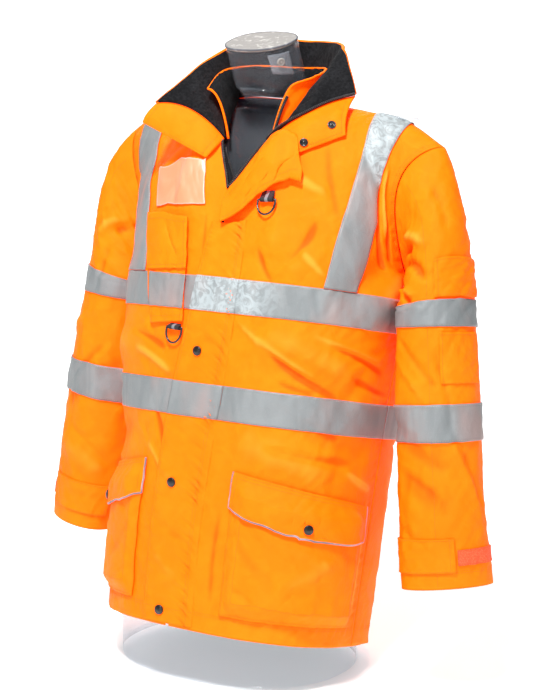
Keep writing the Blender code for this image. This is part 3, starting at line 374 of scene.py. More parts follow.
class Cloth:
    """A piece of cloth as a fine grid of points: rows, columns, points and normals away from the wearer.
    Its relief is a height over the smooth surface, added along the normals."""

    def __init__(self, rows, columns, point, outward, relief=None):
        self.rows = np.asarray(rows, float)
        self.columns = np.asarray(columns, float)
        self.c, self.r = np.meshgrid(self.columns, self.rows)
        self.points = point(self.c, self.r)
        self.outward = outward
        self.normals = self.slopes()
        self.height = np.zeros(self.c.shape)
        if relief is not None:
            self.height = relief(self.c, self.r)
            self.points = self.points + self.normals * self.height[..., None]
            self.normals = self.slopes()

    def slopes(self):
        return self.outward * unit(np.cross(np.gradient(self.points, axis=1), np.gradient(self.points, axis=0)))

    def at(self, column, row, out=0.0):
        """Points of the cloth, moved out along its normals."""
        column, row, out = np.broadcast_arrays(*[np.asarray(k, float) for k in (column, row, out)])
        i = np.clip(np.searchsorted(self.rows, row, side="right") - 1, 0, len(self.rows) - 2)
        j = np.clip(np.searchsorted(self.columns, column, side="right") - 1, 0, len(self.columns) - 2)
        a = ((row - self.rows[i]) / (self.rows[i + 1] - self.rows[i]))[..., None]
        b = ((column - self.columns[j]) / (self.columns[j + 1] - self.columns[j]))[..., None]

        def mix(f):
            return ((f[i, j] * (1 - b) + f[i, j + 1] * b) * (1 - a)
                    + (f[i + 1, j] * (1 - b) + f[i + 1, j + 1] * b) * a)

        return mix(self.points) + mix(self.normals) * out[..., None]

    def frame(self, column, row, out):
        """A point with its normal, the way across and the way up, all square."""
        p = self.at(column, row, out)
        n = unit(self.at(column, row, out + 0.01) - p)
        up = self.at(column, row + 0.004, out) - p
        up = unit(up - n * np.dot(up, n))
        return p, n, np.cross(up, n), up


# ---------------------------------------------------------------------------------------------
# Finishes: node materials
# ---------------------------------------------------------------------------------------------
class Value:
    """A shader socket that takes part in sums: +, -, *, / and ** make Math nodes."""

    def __init__(self, finish, socket):
        self.finish = finish
        self.socket = socket

    def math(self, operation, *values):
        node = self.finish.node("ShaderNodeMath", {"operation": operation})
        for socket, value in zip(node.inputs, values):
            self.finish.put(socket, value)
        return Value(self.finish, node.outputs[0])

    def __add__(self, other):
        return self.math("ADD", self, other)

    def __radd__(self, other):
        return self.math("ADD", other, self)

    def __sub__(self, other):
        return self.math("SUBTRACT", self, other)

    def __rsub__(self, other):
        return self.math("SUBTRACT", other, self)

    def __mul__(self, other):
        return self.math("MULTIPLY", self, other)

    def __rmul__(self, other):
        return self.math("MULTIPLY", other, self)

    def __truediv__(self, other):
        return self.math("DIVIDE", self, other)

    def __pow__(self, other):
        return self.math("POWER", self, other)

    def between(self, low, high):
        """0 at the low value, 1 at the high one, with level ends."""
        node = self.finish.node("ShaderNodeMapRange", {"interpolation_type": "SMOOTHSTEP"},
                                {"Value": self, "From Min": low, "From Max": high})
        return Value(self.finish, node.outputs["Result"])


class Finish:
    """A material, with its nodes made by name."""

    def __init__(self, name, **fixed):
        self.material = bpy.data.materials.new(name)
        self.material.use_nodes = True
        self.tree = self.material.node_tree
        self.shader = self.tree.nodes["Principled BSDF"]
        self.place = Value(self, self.node("ShaderNodeTexCoord").outputs["Object"])
        self.mark = Value(self, self.node("ShaderNodeAttribute", {"attribute_name": "mark"}).outputs["Fac"])
        self.set(**fixed)

    def put(self, socket, value):
        if isinstance(value, Value):
            self.tree.links.new(value.socket, socket)
        else:
            socket.default_value = value

    def node(self, kind, settings=None, values=None):
        """Any node: its type, its settings, then its sockets' values or links by name or number."""
        node = self.tree.nodes.new(kind)
        for key, value in (settings or {}).items():
            setattr(node, key, value)
        for key, value in (values or {}).items():
            self.put(node.inputs[key], value)
        return node

    def set(self, **values):
        """Sockets of the main shader, by name with _ for a space."""
        for key, value in values.items():
            self.put(self.shader.inputs[key.replace("_", " ")], value)

    def stretched(self, x, y, z):
        node = self.node("ShaderNodeVectorMath", {"operation": "MULTIPLY"}, {0: self.place, 1: (x, y, z)})
        return Value(self, node.outputs[0])

    def noise(self, scale, detail=2.0, place=None, warp=0.0):
        node = self.node("ShaderNodeTexNoise", None, {
            "Vector": place or self.place, "Scale": scale, "Detail": detail, "Distortion": warp})
        return Value(self, node.outputs["Fac"])

    def cells(self, scale, place=None):
        node = self.node("ShaderNodeTexVoronoi", None, {"Vector": place or self.place, "Scale": scale})
        return Value(self, node.outputs["Distance"])

    def threads(self, scale, direction):
        node = self.node("ShaderNodeTexWave", {"bands_direction": direction}, {
            "Vector": self.place, "Scale": scale, "Distortion": 0.6, "Detail": 1.0})
        return Value(self, node.outputs["Fac"])

    def blend(self, share, first, second):
        """Colour between two colours."""
        node = self.node("ShaderNodeMix", {"data_type": "RGBA"}, {0: share})
        for number, colour in ((6, first), (7, second)):
            self.put(node.inputs[number], colour if isinstance(colour, Value) else (*colour, 1.0))
        return Value(self, node.outputs[2])

    def bump(self, height, distance, strength=1.0):
        node = self.node("ShaderNodeBump", None, {"Strength": strength, "Distance": distance, "Height": height})
        self.set(Normal=Value(self, node.outputs["Normal"]))


def orange_cloth(name, fine=1.0):
    """Coated weave, fluorescent: a constant painted glow keeps the red in the shade. The mark is the folds' height:
    painted shade deepens the troughs and a painted highlight lightens the ridges.
    """
    f = Finish(name, Specular_IOR_Level=0.12)
    slack = f.noise(46.0, 5.0, warp=0.6)
    broad = f.noise(6.0, 2.0)
    weave = f.threads(380.0, "Z") * f.threads(380.0, "X")
    grain = f.noise(900.0, 2.0)
    worn = f.noise(17.0, 3.0, warp=1.0)
    deep = f.blend((slack * 0.5 + broad * 0.5).between(0.38, 0.66), (1.0, 0.222, 0.0), (1.0, 0.258, 0.002))
    # painted shade: deep red where the mark is below zero, in the fold troughs
    folded = f.blend((0.0 - f.mark).between(0.20, 1.3), deep, (1.0, 0.120, 0.0))
    # painted highlight: paler orange where the mark is high, on the fold ridges
    painted_ridge_light = f.blend(f.mark.between(0.35, 1.5), folded, (1.0, 0.36, 0.03))
    # the emission is a painted glow, the same in light and shade, that keeps the shaded cloth red
    f.set(Base_Color=f.blend(grain.between(0.62, 0.78) * 0.3, painted_ridge_light, (1.0, 0.18, 0.0)),
          Roughness=0.52 + worn * 0.16 - weave * 0.06,
          Emission_Color=(1.0, 0.010, 0.0, 1.0), Emission_Strength=0.62)
    f.bump(slack * 0.30 * fine + worn * 0.25 + weave * 0.035 + grain * 0.03, 0.0050)
    return f.material


def reflective_tape():
    """Silver glass-bead tape: fine beads, upright crinkles, and a painted pink reflection of the cloth in patches.
    The mark is painted glare, shown as a pale emission.
    """
    f = Finish("reflective_tape", Metallic=0.10, Specular_IOR_Level=0.45)
    crinkle = f.noise(30.0, 5.0, f.stretched(1.0, 1.0, 0.22), warp=0.8)
    broken = f.noise(60.0, 6.0, warp=2.2)
    beads = f.noise(1500.0, 1.0)
    # patches where the tape gets its painted pink reflection of the orange cloth
    painted_reflection_patches = f.noise(9.0, 3.0, f.stretched(1.0, 1.0, 0.4))
    grey = f.blend(crinkle.between(0.36, 0.66), (0.235, 0.255, 0.262), (0.285, 0.305, 0.312))
    # painted reflection: the grey turned pink in those patches
    cast = f.blend(painted_reflection_patches.between(0.50, 0.68) * 0.75, grey, (0.44, 0.300, 0.28))
    # painted glare: a pale emission where the mark is high, broken up by noise
    painted_glare = f.mark * (broken.between(0.36, 0.62) * 0.70 + 0.30)
    f.set(Base_Color=f.blend(beads.between(0.66, 0.8) * 0.3, cast, (0.70, 0.74, 0.75)),
          Roughness=0.42 + beads * 0.12 + crinkle * 0.10,
          Emission_Color=f.blend(painted_glare, (0.0, 0.0, 0.0), (0.34, 0.40, 0.42)), Emission_Strength=1.0)
    f.bump(crinkle * 0.5 + broken * 0.16 + beads * 0.02, 0.0036)
    return f.material


def fleece(name, colour):
    """Napped pile: matted tufts and a faint sheen."""
    f = Finish(name, Roughness=0.95, Specular_IOR_Level=0.05, Sheen_Weight=0.03, Sheen_Roughness=0.6)
    tufts = f.noise(260.0, 4.0, warp=0.5)
    mat = f.noise(30.0, 3.0)
    light = tuple(k * 2.1 + 0.002 for k in colour)
    f.set(Base_Color=f.blend((tufts * 0.6 + mat * 0.4).between(0.40, 0.66), colour, light))
    f.bump(tufts + mat * 0.5, 0.0016)
    return f.material


def lining(name, colour, roughness):
    """Smooth woven lining with slack wrinkles."""
    f = Finish(name, Specular_IOR_Level=0.3)
    slack = f.noise(24.0, 4.0, warp=0.8)
    weave = f.threads(520.0, "X") * f.threads(520.0, "Z")
    f.set(Base_Color=f.blend(slack.between(0.4, 0.65), colour, tuple(k * 1.7 for k in colour)),
          Roughness=roughness + slack * 0.15)
    f.bump(slack + weave * 0.05, 0.004)
    return f.material


def hard(name, colour, roughness, metallic=0.0, coat=0.0, gloss=0.5):
    """Painted metal or moulded plastic with fine marks, brighter on worn places."""
    f = Finish(name, Metallic=metallic, Coat_Weight=coat, Coat_Roughness=0.15, Specular_IOR_Level=gloss)
    specks = f.noise(420.0, 3.0)
    rubbed = f.noise(90.0, 4.0, warp=0.8)
    worn = tuple(min(1.0, k * 1.9 + 0.03) for k in colour)
    f.set(Base_Color=f.blend(rubbed.between(0.52, 0.74), colour, worn),
          Roughness=roughness + specks * 0.14)
    f.bump(specks * 0.5 + rubbed * 0.5, 0.0004)
    return f.material


def thread(name, colour):
    f = Finish(name, Roughness=0.6)
    twist = f.noise(900.0, 2.0)
    f.set(Base_Color=f.blend(twist.between(0.35, 0.65), colour, tuple(min(1.0, k * 1.25) for k in colour)))
    return f.material


def webbing_weave():
    """Ribbed black webbing. Where the mark is 1 it has its grey stripe."""
    f = Finish("webbing", Specular_IOR_Level=0.35)
    ribs = f.threads(260.0, "X")
    grain = f.noise(700.0, 2.0)
    black = f.blend(grain.between(0.3, 0.7), (0.022, 0.022, 0.026), (0.050, 0.050, 0.056))
    f.set(Base_Color=f.blend(f.mark.between(0.4, 0.6), black, (0.30, 0.31, 0.34)), Roughness=0.62 + grain * 0.2)
    f.bump(ribs * 0.7 + grain * 0.3, 0.0007)
    return f.material


def hook_tape():
    """Hook-and-loop tape: a dense field of small hooks, with a faint painted red glow."""
    f = Finish("hook_tape", Specular_IOR_Level=0.3)
    hooks = f.cells(520.0)
    shade = f.noise(60.0, 3.0)
    # the emission is a painted glow, the same in light and shade
    f.set(Base_Color=f.blend(hooks.between(0.1, 0.6), (1.0, 0.21, 0.085), (0.92, 0.11, 0.035)),
          Roughness=0.62 + shade * 0.2, Emission_Color=(1.0, 0.05, 0.02, 1.0), Emission_Strength=0.22)
    f.bump(1.0 - hooks, 0.0010)
    return f.material


def window_film():
    """Clear film over orange: pale, glossy, with soft ripples, and a faint painted glow. Its welded rim, by the mark,
    is whiter.
    """
    f = Finish("window_film", Coat_Weight=0.25, Coat_Roughness=0.25, Specular_IOR_Level=0.4)
    ripple = f.noise(22.0, 3.0, warp=0.6)
    haze = f.noise(70.0, 4.0)
    film = f.blend(ripple.between(0.35, 0.68), (1.0, 0.30, 0.155), (1.0, 0.35, 0.20))
    # the emission is a painted glow, the same in light and shade
    f.set(Base_Color=f.blend(f.mark.between(0.3, 0.9), film, (1.0, 0.52, 0.40)), Roughness=0.34 + haze * 0.15,
          Emission_Color=(1.0, 0.10, 0.05, 1.0), Emission_Strength=0.15)
    f.bump(ripple + haze * 0.2, 0.0012)
    return f.material


def clear_plastic():
    """Clear blown plastic: nearly unseen face on, glossy where it turns away; clearer still below 0 by its mark,
    and frosted above."""
    f = Finish("clear_plastic", Roughness=0.06, Specular_IOR_Level=0.7, Coat_Weight=0.5)
    swirl = f.noise(9.0, 2.0, warp=1.0)
    f.set(Base_Color=f.blend(swirl, (0.34, 0.37, 0.43), (0.44, 0.46, 0.50)))
    f.bump(swirl, 0.004)
    facing = Value(f, f.node("ShaderNodeLayerWeight", None, {"Blend": 0.35}).outputs["Facing"])
    open_air = f.node("ShaderNodeBsdfTransparent", None, {"Color": (0.97, 0.98, 0.99, 1.0)})
    mixed = f.node("ShaderNodeMixShader", None, {
        0: (facing**2.6 * 0.70 + 0.05) * (f.mark + 1.0).between(0.0, 1.0) + f.mark.between(0.0, 1.0) * 0.45})
    f.tree.links.new(open_air.outputs[0], mixed.inputs[1])
    f.tree.links.new(f.shader.outputs[0], mixed.inputs[2])
    out = next(n for n in f.tree.nodes if n.type == "OUTPUT_MATERIAL")
    f.tree.links.new(mixed.outputs[0], out.inputs["Surface"])
    return f.material


ORANGE = orange_cloth("orange_cloth")
ORANGE_BINDING = orange_cloth("orange_binding", fine=0.3)
TAPE_SILVER = reflective_tape()
FLEECE = fleece("black_fleece", (0.0085, 0.0085, 0.0095))
NAVY = lining("navy_lining", (0.010, 0.011, 0.028), 0.65)
ORANGE_THREAD = thread("orange_thread", (0.90, 0.13, 0.0))
GREY_THREAD = thread("grey_thread", (0.42, 0.30, 0.27))
PIPING = lining("grey_piping", (0.27, 0.25, 0.28), 0.5)
ZIP_CLOTH = lining("zip_tape", (0.006, 0.006, 0.007), 0.8)
ZIP_TOOTH = hard("zip_tooth", (0.036, 0.033, 0.036), 0.28, coat=0.2)
SNAP_BLACK = hard("snap_black", (0.016, 0.015, 0.016), 0.22, metallic=0.3, coat=0.4)
RING_BLACK = hard("ring_black", (0.020, 0.019, 0.021), 0.20, coat=0.5)
WEBBING = webbing_weave()
HOOK = hook_tape()
WINDOW = window_film()
CLEAR = clear_plastic()
CAP_WHITE = hard("cap_cream", (0.31, 0.295, 0.28), 0.80, gloss=0.1)
RIM_GREY = hard("rim_grey", (0.11, 0.115, 0.13), 0.50, gloss=0.3)


# ---------------------------------------------------------------------------------------------
# Making pieces
# ---------------------------------------------------------------------------------------------
def squares(grid):
    """The four corners of each cell of a grid of point numbers."""
    return np.stack([grid[:-1, :-1], grid[:-1, 1:], grid[1:, 1:], grid[1:, :-1]], axis=-1).reshape(-1, 4)


def round_again(index):
    """A grid of point numbers with its first column once more at the end."""
    return np.hstack([index, index[:, :1]])


def spaced(path, facing, pitch):
    """Places evenly spaced along a path, with the ways out, ahead and sideways there."""
    reach = np.concatenate([[0], np.cumsum(np.linalg.norm(np.diff(path, axis=0), axis=1))])
    at = np.arange(pitch / 2, reach[-1], pitch)
    lines = (path, np.broadcast_to(facing, path.shape), unit(np.gradient(path, axis=0)))
    centre, off, ahead = (np.stack([np.interp(at, reach, line[:, k]) for k in range(3)], axis=-1) for line in lines)
    return centre[:, None], off, ahead, unit(np.cross(ahead, off))


def cut_size(points):
    """A panel's flat width and length, and its area in square metres, from its grid of points."""
    width = np.linalg.norm(np.diff(points, axis=1), axis=-1).sum(axis=1).max()
    length = np.linalg.norm(np.diff(points, axis=0), axis=-1).sum(axis=0).max()
    across = points[1:, 1:] - points[:-1, :-1]
    other = points[1:, :-1] - points[:-1, 1:]
    area = 0.5 * np.linalg.norm(np.cross(across, other), axis=-1).sum()
    width, length = max(width, 0.0101), max(length, 0.0101)
    return (float(width), float(length)), float(np.clip(area, 0.31 * width * length, width * length))


class Piece:
    """One object's mesh in the making: walls, cords, knobs and stitches, each with its finish and mark."""

    def __init__(self):
        self.points = []
        self.marks = []
        self.faces = []
        self.finishes = []
        self.materials = []
        self.count = 0
        self.cut = None

    def number(self, finish):
        if finish not in self.materials:
            self.materials.append(finish)
        return self.materials.index(finish)

    def add(self, points, groups, mark=0.0):
        """Points, then groups of faces by point number with the finish of each group."""
        points = np.asarray(points, float).reshape(-1, 3)
        self.points.append(points)
        self.marks.append(np.broadcast_to(np.ravel(mark) if np.ndim(mark) else mark, len(points)))
        for faces, finish in groups:
            self.faces += (np.asarray(faces) + self.count).tolist()
            self.finishes += [self.number(finish)] * len(faces)
        self.count += len(points)

    def wall(self, outer, inner, finish, inside=None, closed=False, mark=0.0, sized=True):
        """A wall between two grids of points, with its rims. A closed one joins round."""
        count = outer.shape[0] * outer.shape[1]
        index = np.arange(count).reshape(outer.shape[:2])
        if closed:
            index = round_again(index)
        quads = squares(index)
        rims = [index[0], index[-1, ::-1]] + ([] if closed else [index[:, -1], index[::-1, 0]])
        rims = np.concatenate([np.stack([r[1:], r[:-1], r[:-1] + count, r[1:] + count], axis=-1) for r in rims])
        p, q = outer.reshape(-1, 3), inner.reshape(-1, 3)
        faced = np.cross(p[quads[:, 1]] - p[quads[:, 0]], p[quads[:, 3]] - p[quads[:, 0]])
        way = 1 if np.sum(faced * (p - q)[quads[:, 0]]) > 0 else -1
        outside = np.concatenate([quads, rims])[:, ::way]
        both = np.concatenate([np.broadcast_to(mark, outer.shape[:2]).ravel(), np.zeros(count)])
        self.add(np.concatenate([p, q]), [(outside, finish), (quads[:, ::-way] + count, inside or finish)], both)
        if sized:
            self.cut = cut_size(outer)

    def cord(self, path, facing, radius, finish, closed=False, sides=8, mark=0.0):
        """A round cord: circles square to a path, its ends closed. facing is any way off the path."""
        path = np.asarray(path, float)
        ahead = np.roll(path, -1, 0) - np.roll(path, 1, 0) if closed else np.gradient(path, axis=0)
        ahead = unit(ahead)
        side = unit(np.cross(ahead, np.broadcast_to(facing, path.shape)))
        up = np.cross(side, ahead)
        turn = np.arange(sides) / sides * 2 * math.pi
        ring = side[:, None] * np.cos(turn)[:, None] + up[:, None] * np.sin(turn)[:, None]
        index = np.arange(len(path) * sides).reshape(len(path), sides)
        grid = round_again(index)
        if closed:
            grid = np.vstack([grid, grid[:1]])
        quads = squares(grid)[:, [0, 3, 2, 1]]
        ends = [] if closed else [(index[:1], finish), (index[-1:, ::-1], finish)]
        radius = np.broadcast_to(radius, len(path))[:, None, None]
        self.add(path[:, None] + ring * radius, [(quads, finish), *ends], mark)

    def knob(self, centre, way, profile, finish, sides=20, mark=0.0):
        """A turned knob: rings of the profile's radii and heights about a centre, both ends closed."""
        first = unit(np.cross(way, [0.3, 0.2, 1.0]))
        second = np.cross(way, first)
        turn = (np.arange(sides) / sides * 2 * math.pi)[:, None]
        circle = np.cos(turn) * first + np.sin(turn) * second
        self.tube(np.array([centre + circle * r + np.asarray(way) * h for r, h in profile]), finish, mark)

    def tube(self, rings, finish, mark=0.0):
        """A closed body through rings of points, its first and last ring filled."""
        index = np.arange(rings.shape[0] * rings.shape[1]).reshape(rings.shape[:2])
        self.add(rings, [(squares(round_again(index)), finish), (index[:1, ::-1], finish), (index[-1:], finish)],
                 mark)

    def stitches(self, path, facing, finish=None, pitch=0.0036, length=0.0025, thick=0.00045):
        """A row of stitches: small double pyramids, evenly spaced along a path, half sunk in the cloth."""
        centre, off, ahead, side = spaced(path, facing, pitch)
        tips = [ahead * length / 2, side * thick, off * thick, side * -thick, off * -thick, ahead * -length / 2]
        points = centre + np.stack(tips, axis=1)
        one = np.array([(0, 1, 2), (0, 2, 3), (0, 3, 4), (0, 4, 1), (5, 2, 1), (5, 3, 2), (5, 4, 3), (5, 1, 4)])
        faces = (np.arange(len(points)) * 6)[:, None, None] + one
        self.add(points, [(faces.reshape(-1, 3), finish or ORANGE_THREAD)])

    def seam(self, cloth, columns, rows, out=0.0001, **how):
        """Stitches along a line of a cloth's own columns and rows."""
        columns, rows, out = np.broadcast_arrays(*[np.asarray(k, float) for k in (columns, rows, out)])
        path = cloth.at(columns, rows, out)
        self.stitches(path, cloth.at(columns, rows, out + 1.0) - path, **how)

    def blocks(self, path, facing, size, pitch, finish):
        """Zip teeth: small blocks across a path, evenly spaced; size is across, along and deep."""
        centre, off, ahead, side = spaced(path, facing, pitch)
        off = unit(off)
        corner = np.array([(-1, -1, -1), (1, -1, -1), (1, 1, -1), (-1, 1, -1),
                           (-0.7, -0.7, 1), (0.7, -0.7, 1), (0.7, 0.7, 1), (-0.7, 0.7, 1)]) * np.array(size) / 2
        points = (centre + side[:, None] * corner[:, 0:1] + ahead[:, None] * corner[:, 1:2]
                  + off[:, None] * corner[:, 2:3])
        one = np.array([(0, 3, 2, 1), (4, 5, 6, 7), (0, 1, 5, 4), (1, 2, 6, 5), (2, 3, 7, 6), (3, 0, 4, 7)])
        faces = (np.arange(len(points)) * 8)[:, None, None] + one
        self.add(points, [(faces.reshape(-1, 4), finish)])

    def make(self, name, slot, *nodes, body="jacket", held=None, rests_on=(), carries=()):
        """The object, in the place of its CAD nodes."""
        mesh = bpy.data.meshes.new(name)
        mesh.from_pydata(world(np.concatenate(self.points)).tolist(), [], self.faces)
        mesh.polygons.foreach_set("material_index", self.finishes)
        mesh.shade_smooth()
        mesh.attributes.new("mark", "FLOAT", "POINT").data.foreach_set("value", np.concatenate(self.marks))
        for finish in self.materials:
            mesh.materials.append(finish)
        item = bpy.data.objects.new(name, mesh)
        bpy.context.scene.collection.objects.link(item)
        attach(item, body)
        if nodes:
            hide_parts(*nodes)
        return item


# ---------------------------------------------------------------------------------------------
# Body panels
# ---------------------------------------------------------------------------------------------
# column, row, column, row, half width, height, bow
FRONT_FOLDS = {
    1: [(0.3, 0.455, 0.78, 0.395, 0.0260, 0.0057, 0.004), (0.34, 0.42, 0.8, 0.362, 0.0200, -0.0046, 0.003),
        (0.24, 0.3, 0.72, 0.25, 0.0280, 0.0063, -0.004), (0.5, 0.315, 0.92, 0.285, 0.0200, -0.0040, 0.003),
        (0.72, 0.47, 0.93, 0.56, 0.0280, 0.0080, 0.004), (0.6, 0.5, 0.86, 0.59, 0.0200, -0.0052, 0.000),
        (0.26, 0.6, 0.5, 0.54, 0.0240, 0.0040, 0.004),
        (0.14, 0.46, 0.6, 0.382, 0.0059, 0.0029, 0.004), (0.29, 0.43, 0.7, 0.356, 0.0053, -0.0032, 0.006),
        (0.6, 0.434, 0.93, 0.402, 0.0059, -0.0035, -0.003), (0.71, 0.396, 0.99, 0.372, 0.0059, -0.0029, 0.003),
        (0.52, 0.448, 0.9, 0.418, 0.0053, 0.0024, 0.002), (0.4, 0.375, 0.58, 0.362, 0.0046, -0.0017, 0.002),
        (0.385, 0.281, 0.825, 0.271, 0.0073, -0.0027, 0.003), (0.53, 0.323, 0.72, 0.301, 0.0059, -0.0024, 0.000),
        (0.77, 0.259, 0.98, 0.233, 0.0073, 0.0035, 0.003), (0.225, 0.568, 0.335, 0.51, 0.0053, -0.0024, 0.003),
        (0.37, 0.544, 0.49, 0.603, 0.0066, -0.0027, 0.004), (0.55, 0.526, 0.43, 0.562, 0.0059, 0.0024, 0.000),
        (0.87, 0.67, 0.82, 0.592, 0.0059, -0.0064, 0.003), (0.82, 0.602, 0.845, 0.555, 0.0053, -0.0050, 0.000),
        (0.94, 0.64, 0.9, 0.57, 0.0053, -0.0041, 0.002), (0.92, 0.7, 0.88, 0.6, 0.0066, 0.0039, 0.000),
        (0.3, 0.662, 0.54, 0.632, 0.0079, 0.0024, 0.003), (0.5, 0.7, 0.6, 0.6, 0.0079, -0.0017, 0.004),
        (0.24, 0.18, 0.235, 0.04, 0.0066, -0.0020, 0.002), (0.96, 0.23, 0.955, 0.04, 0.0066, 0.0039, 0.003)],
    -1: [(0.34, 0.44, 0.8, 0.4, 0.0260, 0.0052, 0.004), (0.4, 0.3, 0.82, 0.262, 0.0240, -0.0046, 0.003),
         (0.7, 0.48, 0.92, 0.56, 0.0260, 0.0069, 0.004), (0.52, 0.53, 0.86, 0.6, 0.0200, -0.0040, 0.000),
         (0.46, 0.424, 0.23, 0.398, 0.0059, -0.0032, 0.003), (0.44, 0.4, 0.17, 0.364, 0.0066, 0.0035, 0.003),
         (0.3, 0.33, 0.16, 0.25, 0.0066, -0.0027, 0.002), (0.295, 0.263, 0.15, 0.223, 0.0059, 0.0027, 0.000),
         (0.35, 0.583, 0.21, 0.53, 0.0053, -0.0020, 0.002), (0.1, 0.64, 0.1, 0.54, 0.0053, -0.0020, 0.002),
         (0.6, 0.44, 0.9, 0.42, 0.0066, -0.0029, 0.003), (0.55, 0.362, 0.88, 0.34, 0.0066, 0.0029, 0.002),
         (0.85, 0.66, 0.82, 0.58, 0.0059, -0.0050, 0.002), (0.62, 0.24, 0.92, 0.214, 0.0079, 0.0027, 0.002),
         (0.18, 0.2, 0.12, 0.06, 0.0079, -0.0027, 0.003), (0.3, 0.7, 0.52, 0.64, 0.0079, 0.0020, 0.003)],
}
BACK_FOLDS = [
    (-0.7, 0.44, -0.1, 0.395, 0.0280, 0.0060, 0.004), (0.1, 0.425, 0.72, 0.452, 0.0280, 0.0060, 0.004),
    (-0.5, 0.262, 0.3, 0.23, 0.0300, -0.0053, 0.004), (0.25, 0.13, 0.45, 0.03, 0.0300, 0.0072, 0.003),
    (-0.4, 0.14, -0.55, 0.02, 0.0300, 0.0072, 0.003), (-0.9, 0.52, -0.55, 0.6, 0.0260, 0.0079, 0.004),
    (0.55, 0.6, 0.9, 0.52, 0.0260, 0.0079, 0.004), (-0.62, 0.405, -0.2, 0.372, 0.0044, -0.0048, 0.004),
    (0.16, 0.398, 0.6, 0.418, 0.0044, -0.0048, 0.003), (-0.3, 0.3, 0.22, 0.272, 0.0044, 0.0039, 0.004),
    (-0.86, 0.3, -0.5, 0.34, 0.0048, -0.0043, 0.003), (0.5, 0.33, 0.9, 0.29, 0.0048, -0.0043, 0.003),
    (-0.8, 0.64, -0.62, 0.55, 0.0044, -0.0065, 0.003), (0.8, 0.65, 0.62, 0.556, 0.0044, -0.0061, 0.003),
    (-0.35, 0.6, 0, 0.56, 0.0052, 0.0039, 0.003), (0.05, 0.59, 0.38, 0.64, 0.0052, 0.0039, 0.003),
    (-0.15, 0.19, -0.1, 0.05, 0.0052, -0.0048, 0.003), (0.6, 0.2, 0.66, 0.05, 0.0052, -0.0048, 0.003),
    (0.2, 0.73, 0.34, 0.64, 0.0052, -0.0029, 0.002), (-0.24, 0.735, -0.34, 0.65, 0.0052, -0.0029, 0.002),
]


def front_relief(side):
    """Folds, small slack ripples, and puckers along the armhole, side and hem seams."""
    def relief(c, r):
        x = c * BODY_GIRTH
        folds = creases(FRONT_FOLDS[side], c, r, BODY_GIRTH)
        slack = ripples(x, r, 3 + side, 0.060, 0.0009) + ripples(x, r, 7 + side, 0.024, 0.00045)
        seams = (puckers(r, (0.985 - c) * BODY_GIRTH, 5 + side, 0.012, 0.009, 0.0011)
                 + puckers(x, r - 0.026, 9 + side, 0.014, 0.008, 0.0008))
        edges = ease((1 - c) / 0.10) * ease(c / 0.22) * ease((TOP - r) / 0.03)
        return (folds + slack) * edges + seams * ease((1 - c) / 0.03) * ease(c / 0.15) * ease((TOP - r) / 0.05)
    return relief


def back_relief(c, r):
    """Folds, slack ripples and seam puckers of the back."""
    x = c * BODY_GIRTH
    size = np.abs(c)
    folds = creases(BACK_FOLDS, c, r, BODY_GIRTH)
    slack = ripples(x, r, 21, 0.060, 0.0009) + ripples(x, r, 22, 0.026, 0.00045)
    seams = (puckers(r, (0.985 - size) * BODY_GIRTH, 23, 0.012, 0.009, 0.0010)
             + puckers(x, r - 0.026, 24, 0.014, 0.008, 0.0008))
    return ((folds + slack) * ease((1 - size) / 0.10) * ease((TOP - r) / 0.03)
            + seams * ease((1 - size) / 0.03) * ease((TOP - r) / 0.05))


def level_seam(cloth, shoulder, side):
    """Both sides of a shoulder seam share one normal: up at the neck, leaning out at the tip."""
    outward = 0.6 * ease((shoulder - 0.36) / 0.64) * side
    level = unit(vec(outward, 0 * outward, 1 + 0 * outward))
    near = ease((cloth.rows - 0.765) / (TOP - 0.765))[:, None, None] * (shoulder > 0.35)[None, :, None]
    cloth.normals = unit(cloth.normals * (1 - near) + level * near)


def along(low, high, count=160):
    return np.linspace(low, high, count)


front = {}
for side, word in SIDES:
    cloth = Cloth(along(0, TOP, 241), along(0, 0.998, 123), lambda c, r: front_point(c, r, side), side,
                  front_relief(side))
    level_seam(cloth, NECK_COLUMN + (1 - NECK_COLUMN) * cloth.columns, side)
    front[side] = cloth
    piece = Piece()
    # mark for the cloth's painted fold shade and ridge highlight: the folds' height, with the narrow folds counted
    # again
    narrow = [fold for fold in FRONT_FOLDS[side] if fold[4] < 0.010]
    shade = cloth.height / 0.008 + creases(narrow, cloth.c, cloth.r, BODY_GIRTH) / 0.0032
    piece.wall(cloth.points, cloth.points - cloth.normals * SHELL, ORANGE, NAVY, mark=shade)
    for row in (0.024, 0.0275):
        piece.seam(cloth, along(0.01, 0.99), row)
    for column in (0.972, 0.984):
        piece.seam(cloth, column, along(0.56, TOP - 0.004, 200))
    piece.seam(cloth, 0.984, along(0.005, 0.54, 200))
    piece.seam(cloth, along(0.40, 0.98), TOP - 0.009)
    piece.make(f"{word}_front", "orange_cloth", f"front_{word}", held="hung", rests_on=["form_shell"])

back = Cloth(along(0, TOP, 157), along(-0.9983, 0.9983, 155), back_point, -1, back_relief)
level_seam(back, np.abs(back.columns), np.sign(back.columns))
piece = Piece()
# mark for the cloth's painted fold shade and ridge highlight: the folds' height
piece.wall(back.points, back.points - back.normals * SHELL, ORANGE, NAVY, mark=back.height / 0.006)
for row in (0.024, 0.0275):
    piece.seam(back, along(-0.99, 0.99, 300), row)
for sign in (1, -1):
    piece.seam(back, sign * 0.972, along(0.56, TOP - 0.004, 200))
    piece.seam(back, sign * 0.984, along(0.005, TOP - 0.004, 300))
piece.make("back_panel", "orange_cloth", "back", held="hung", rests_on=["form_shell"])

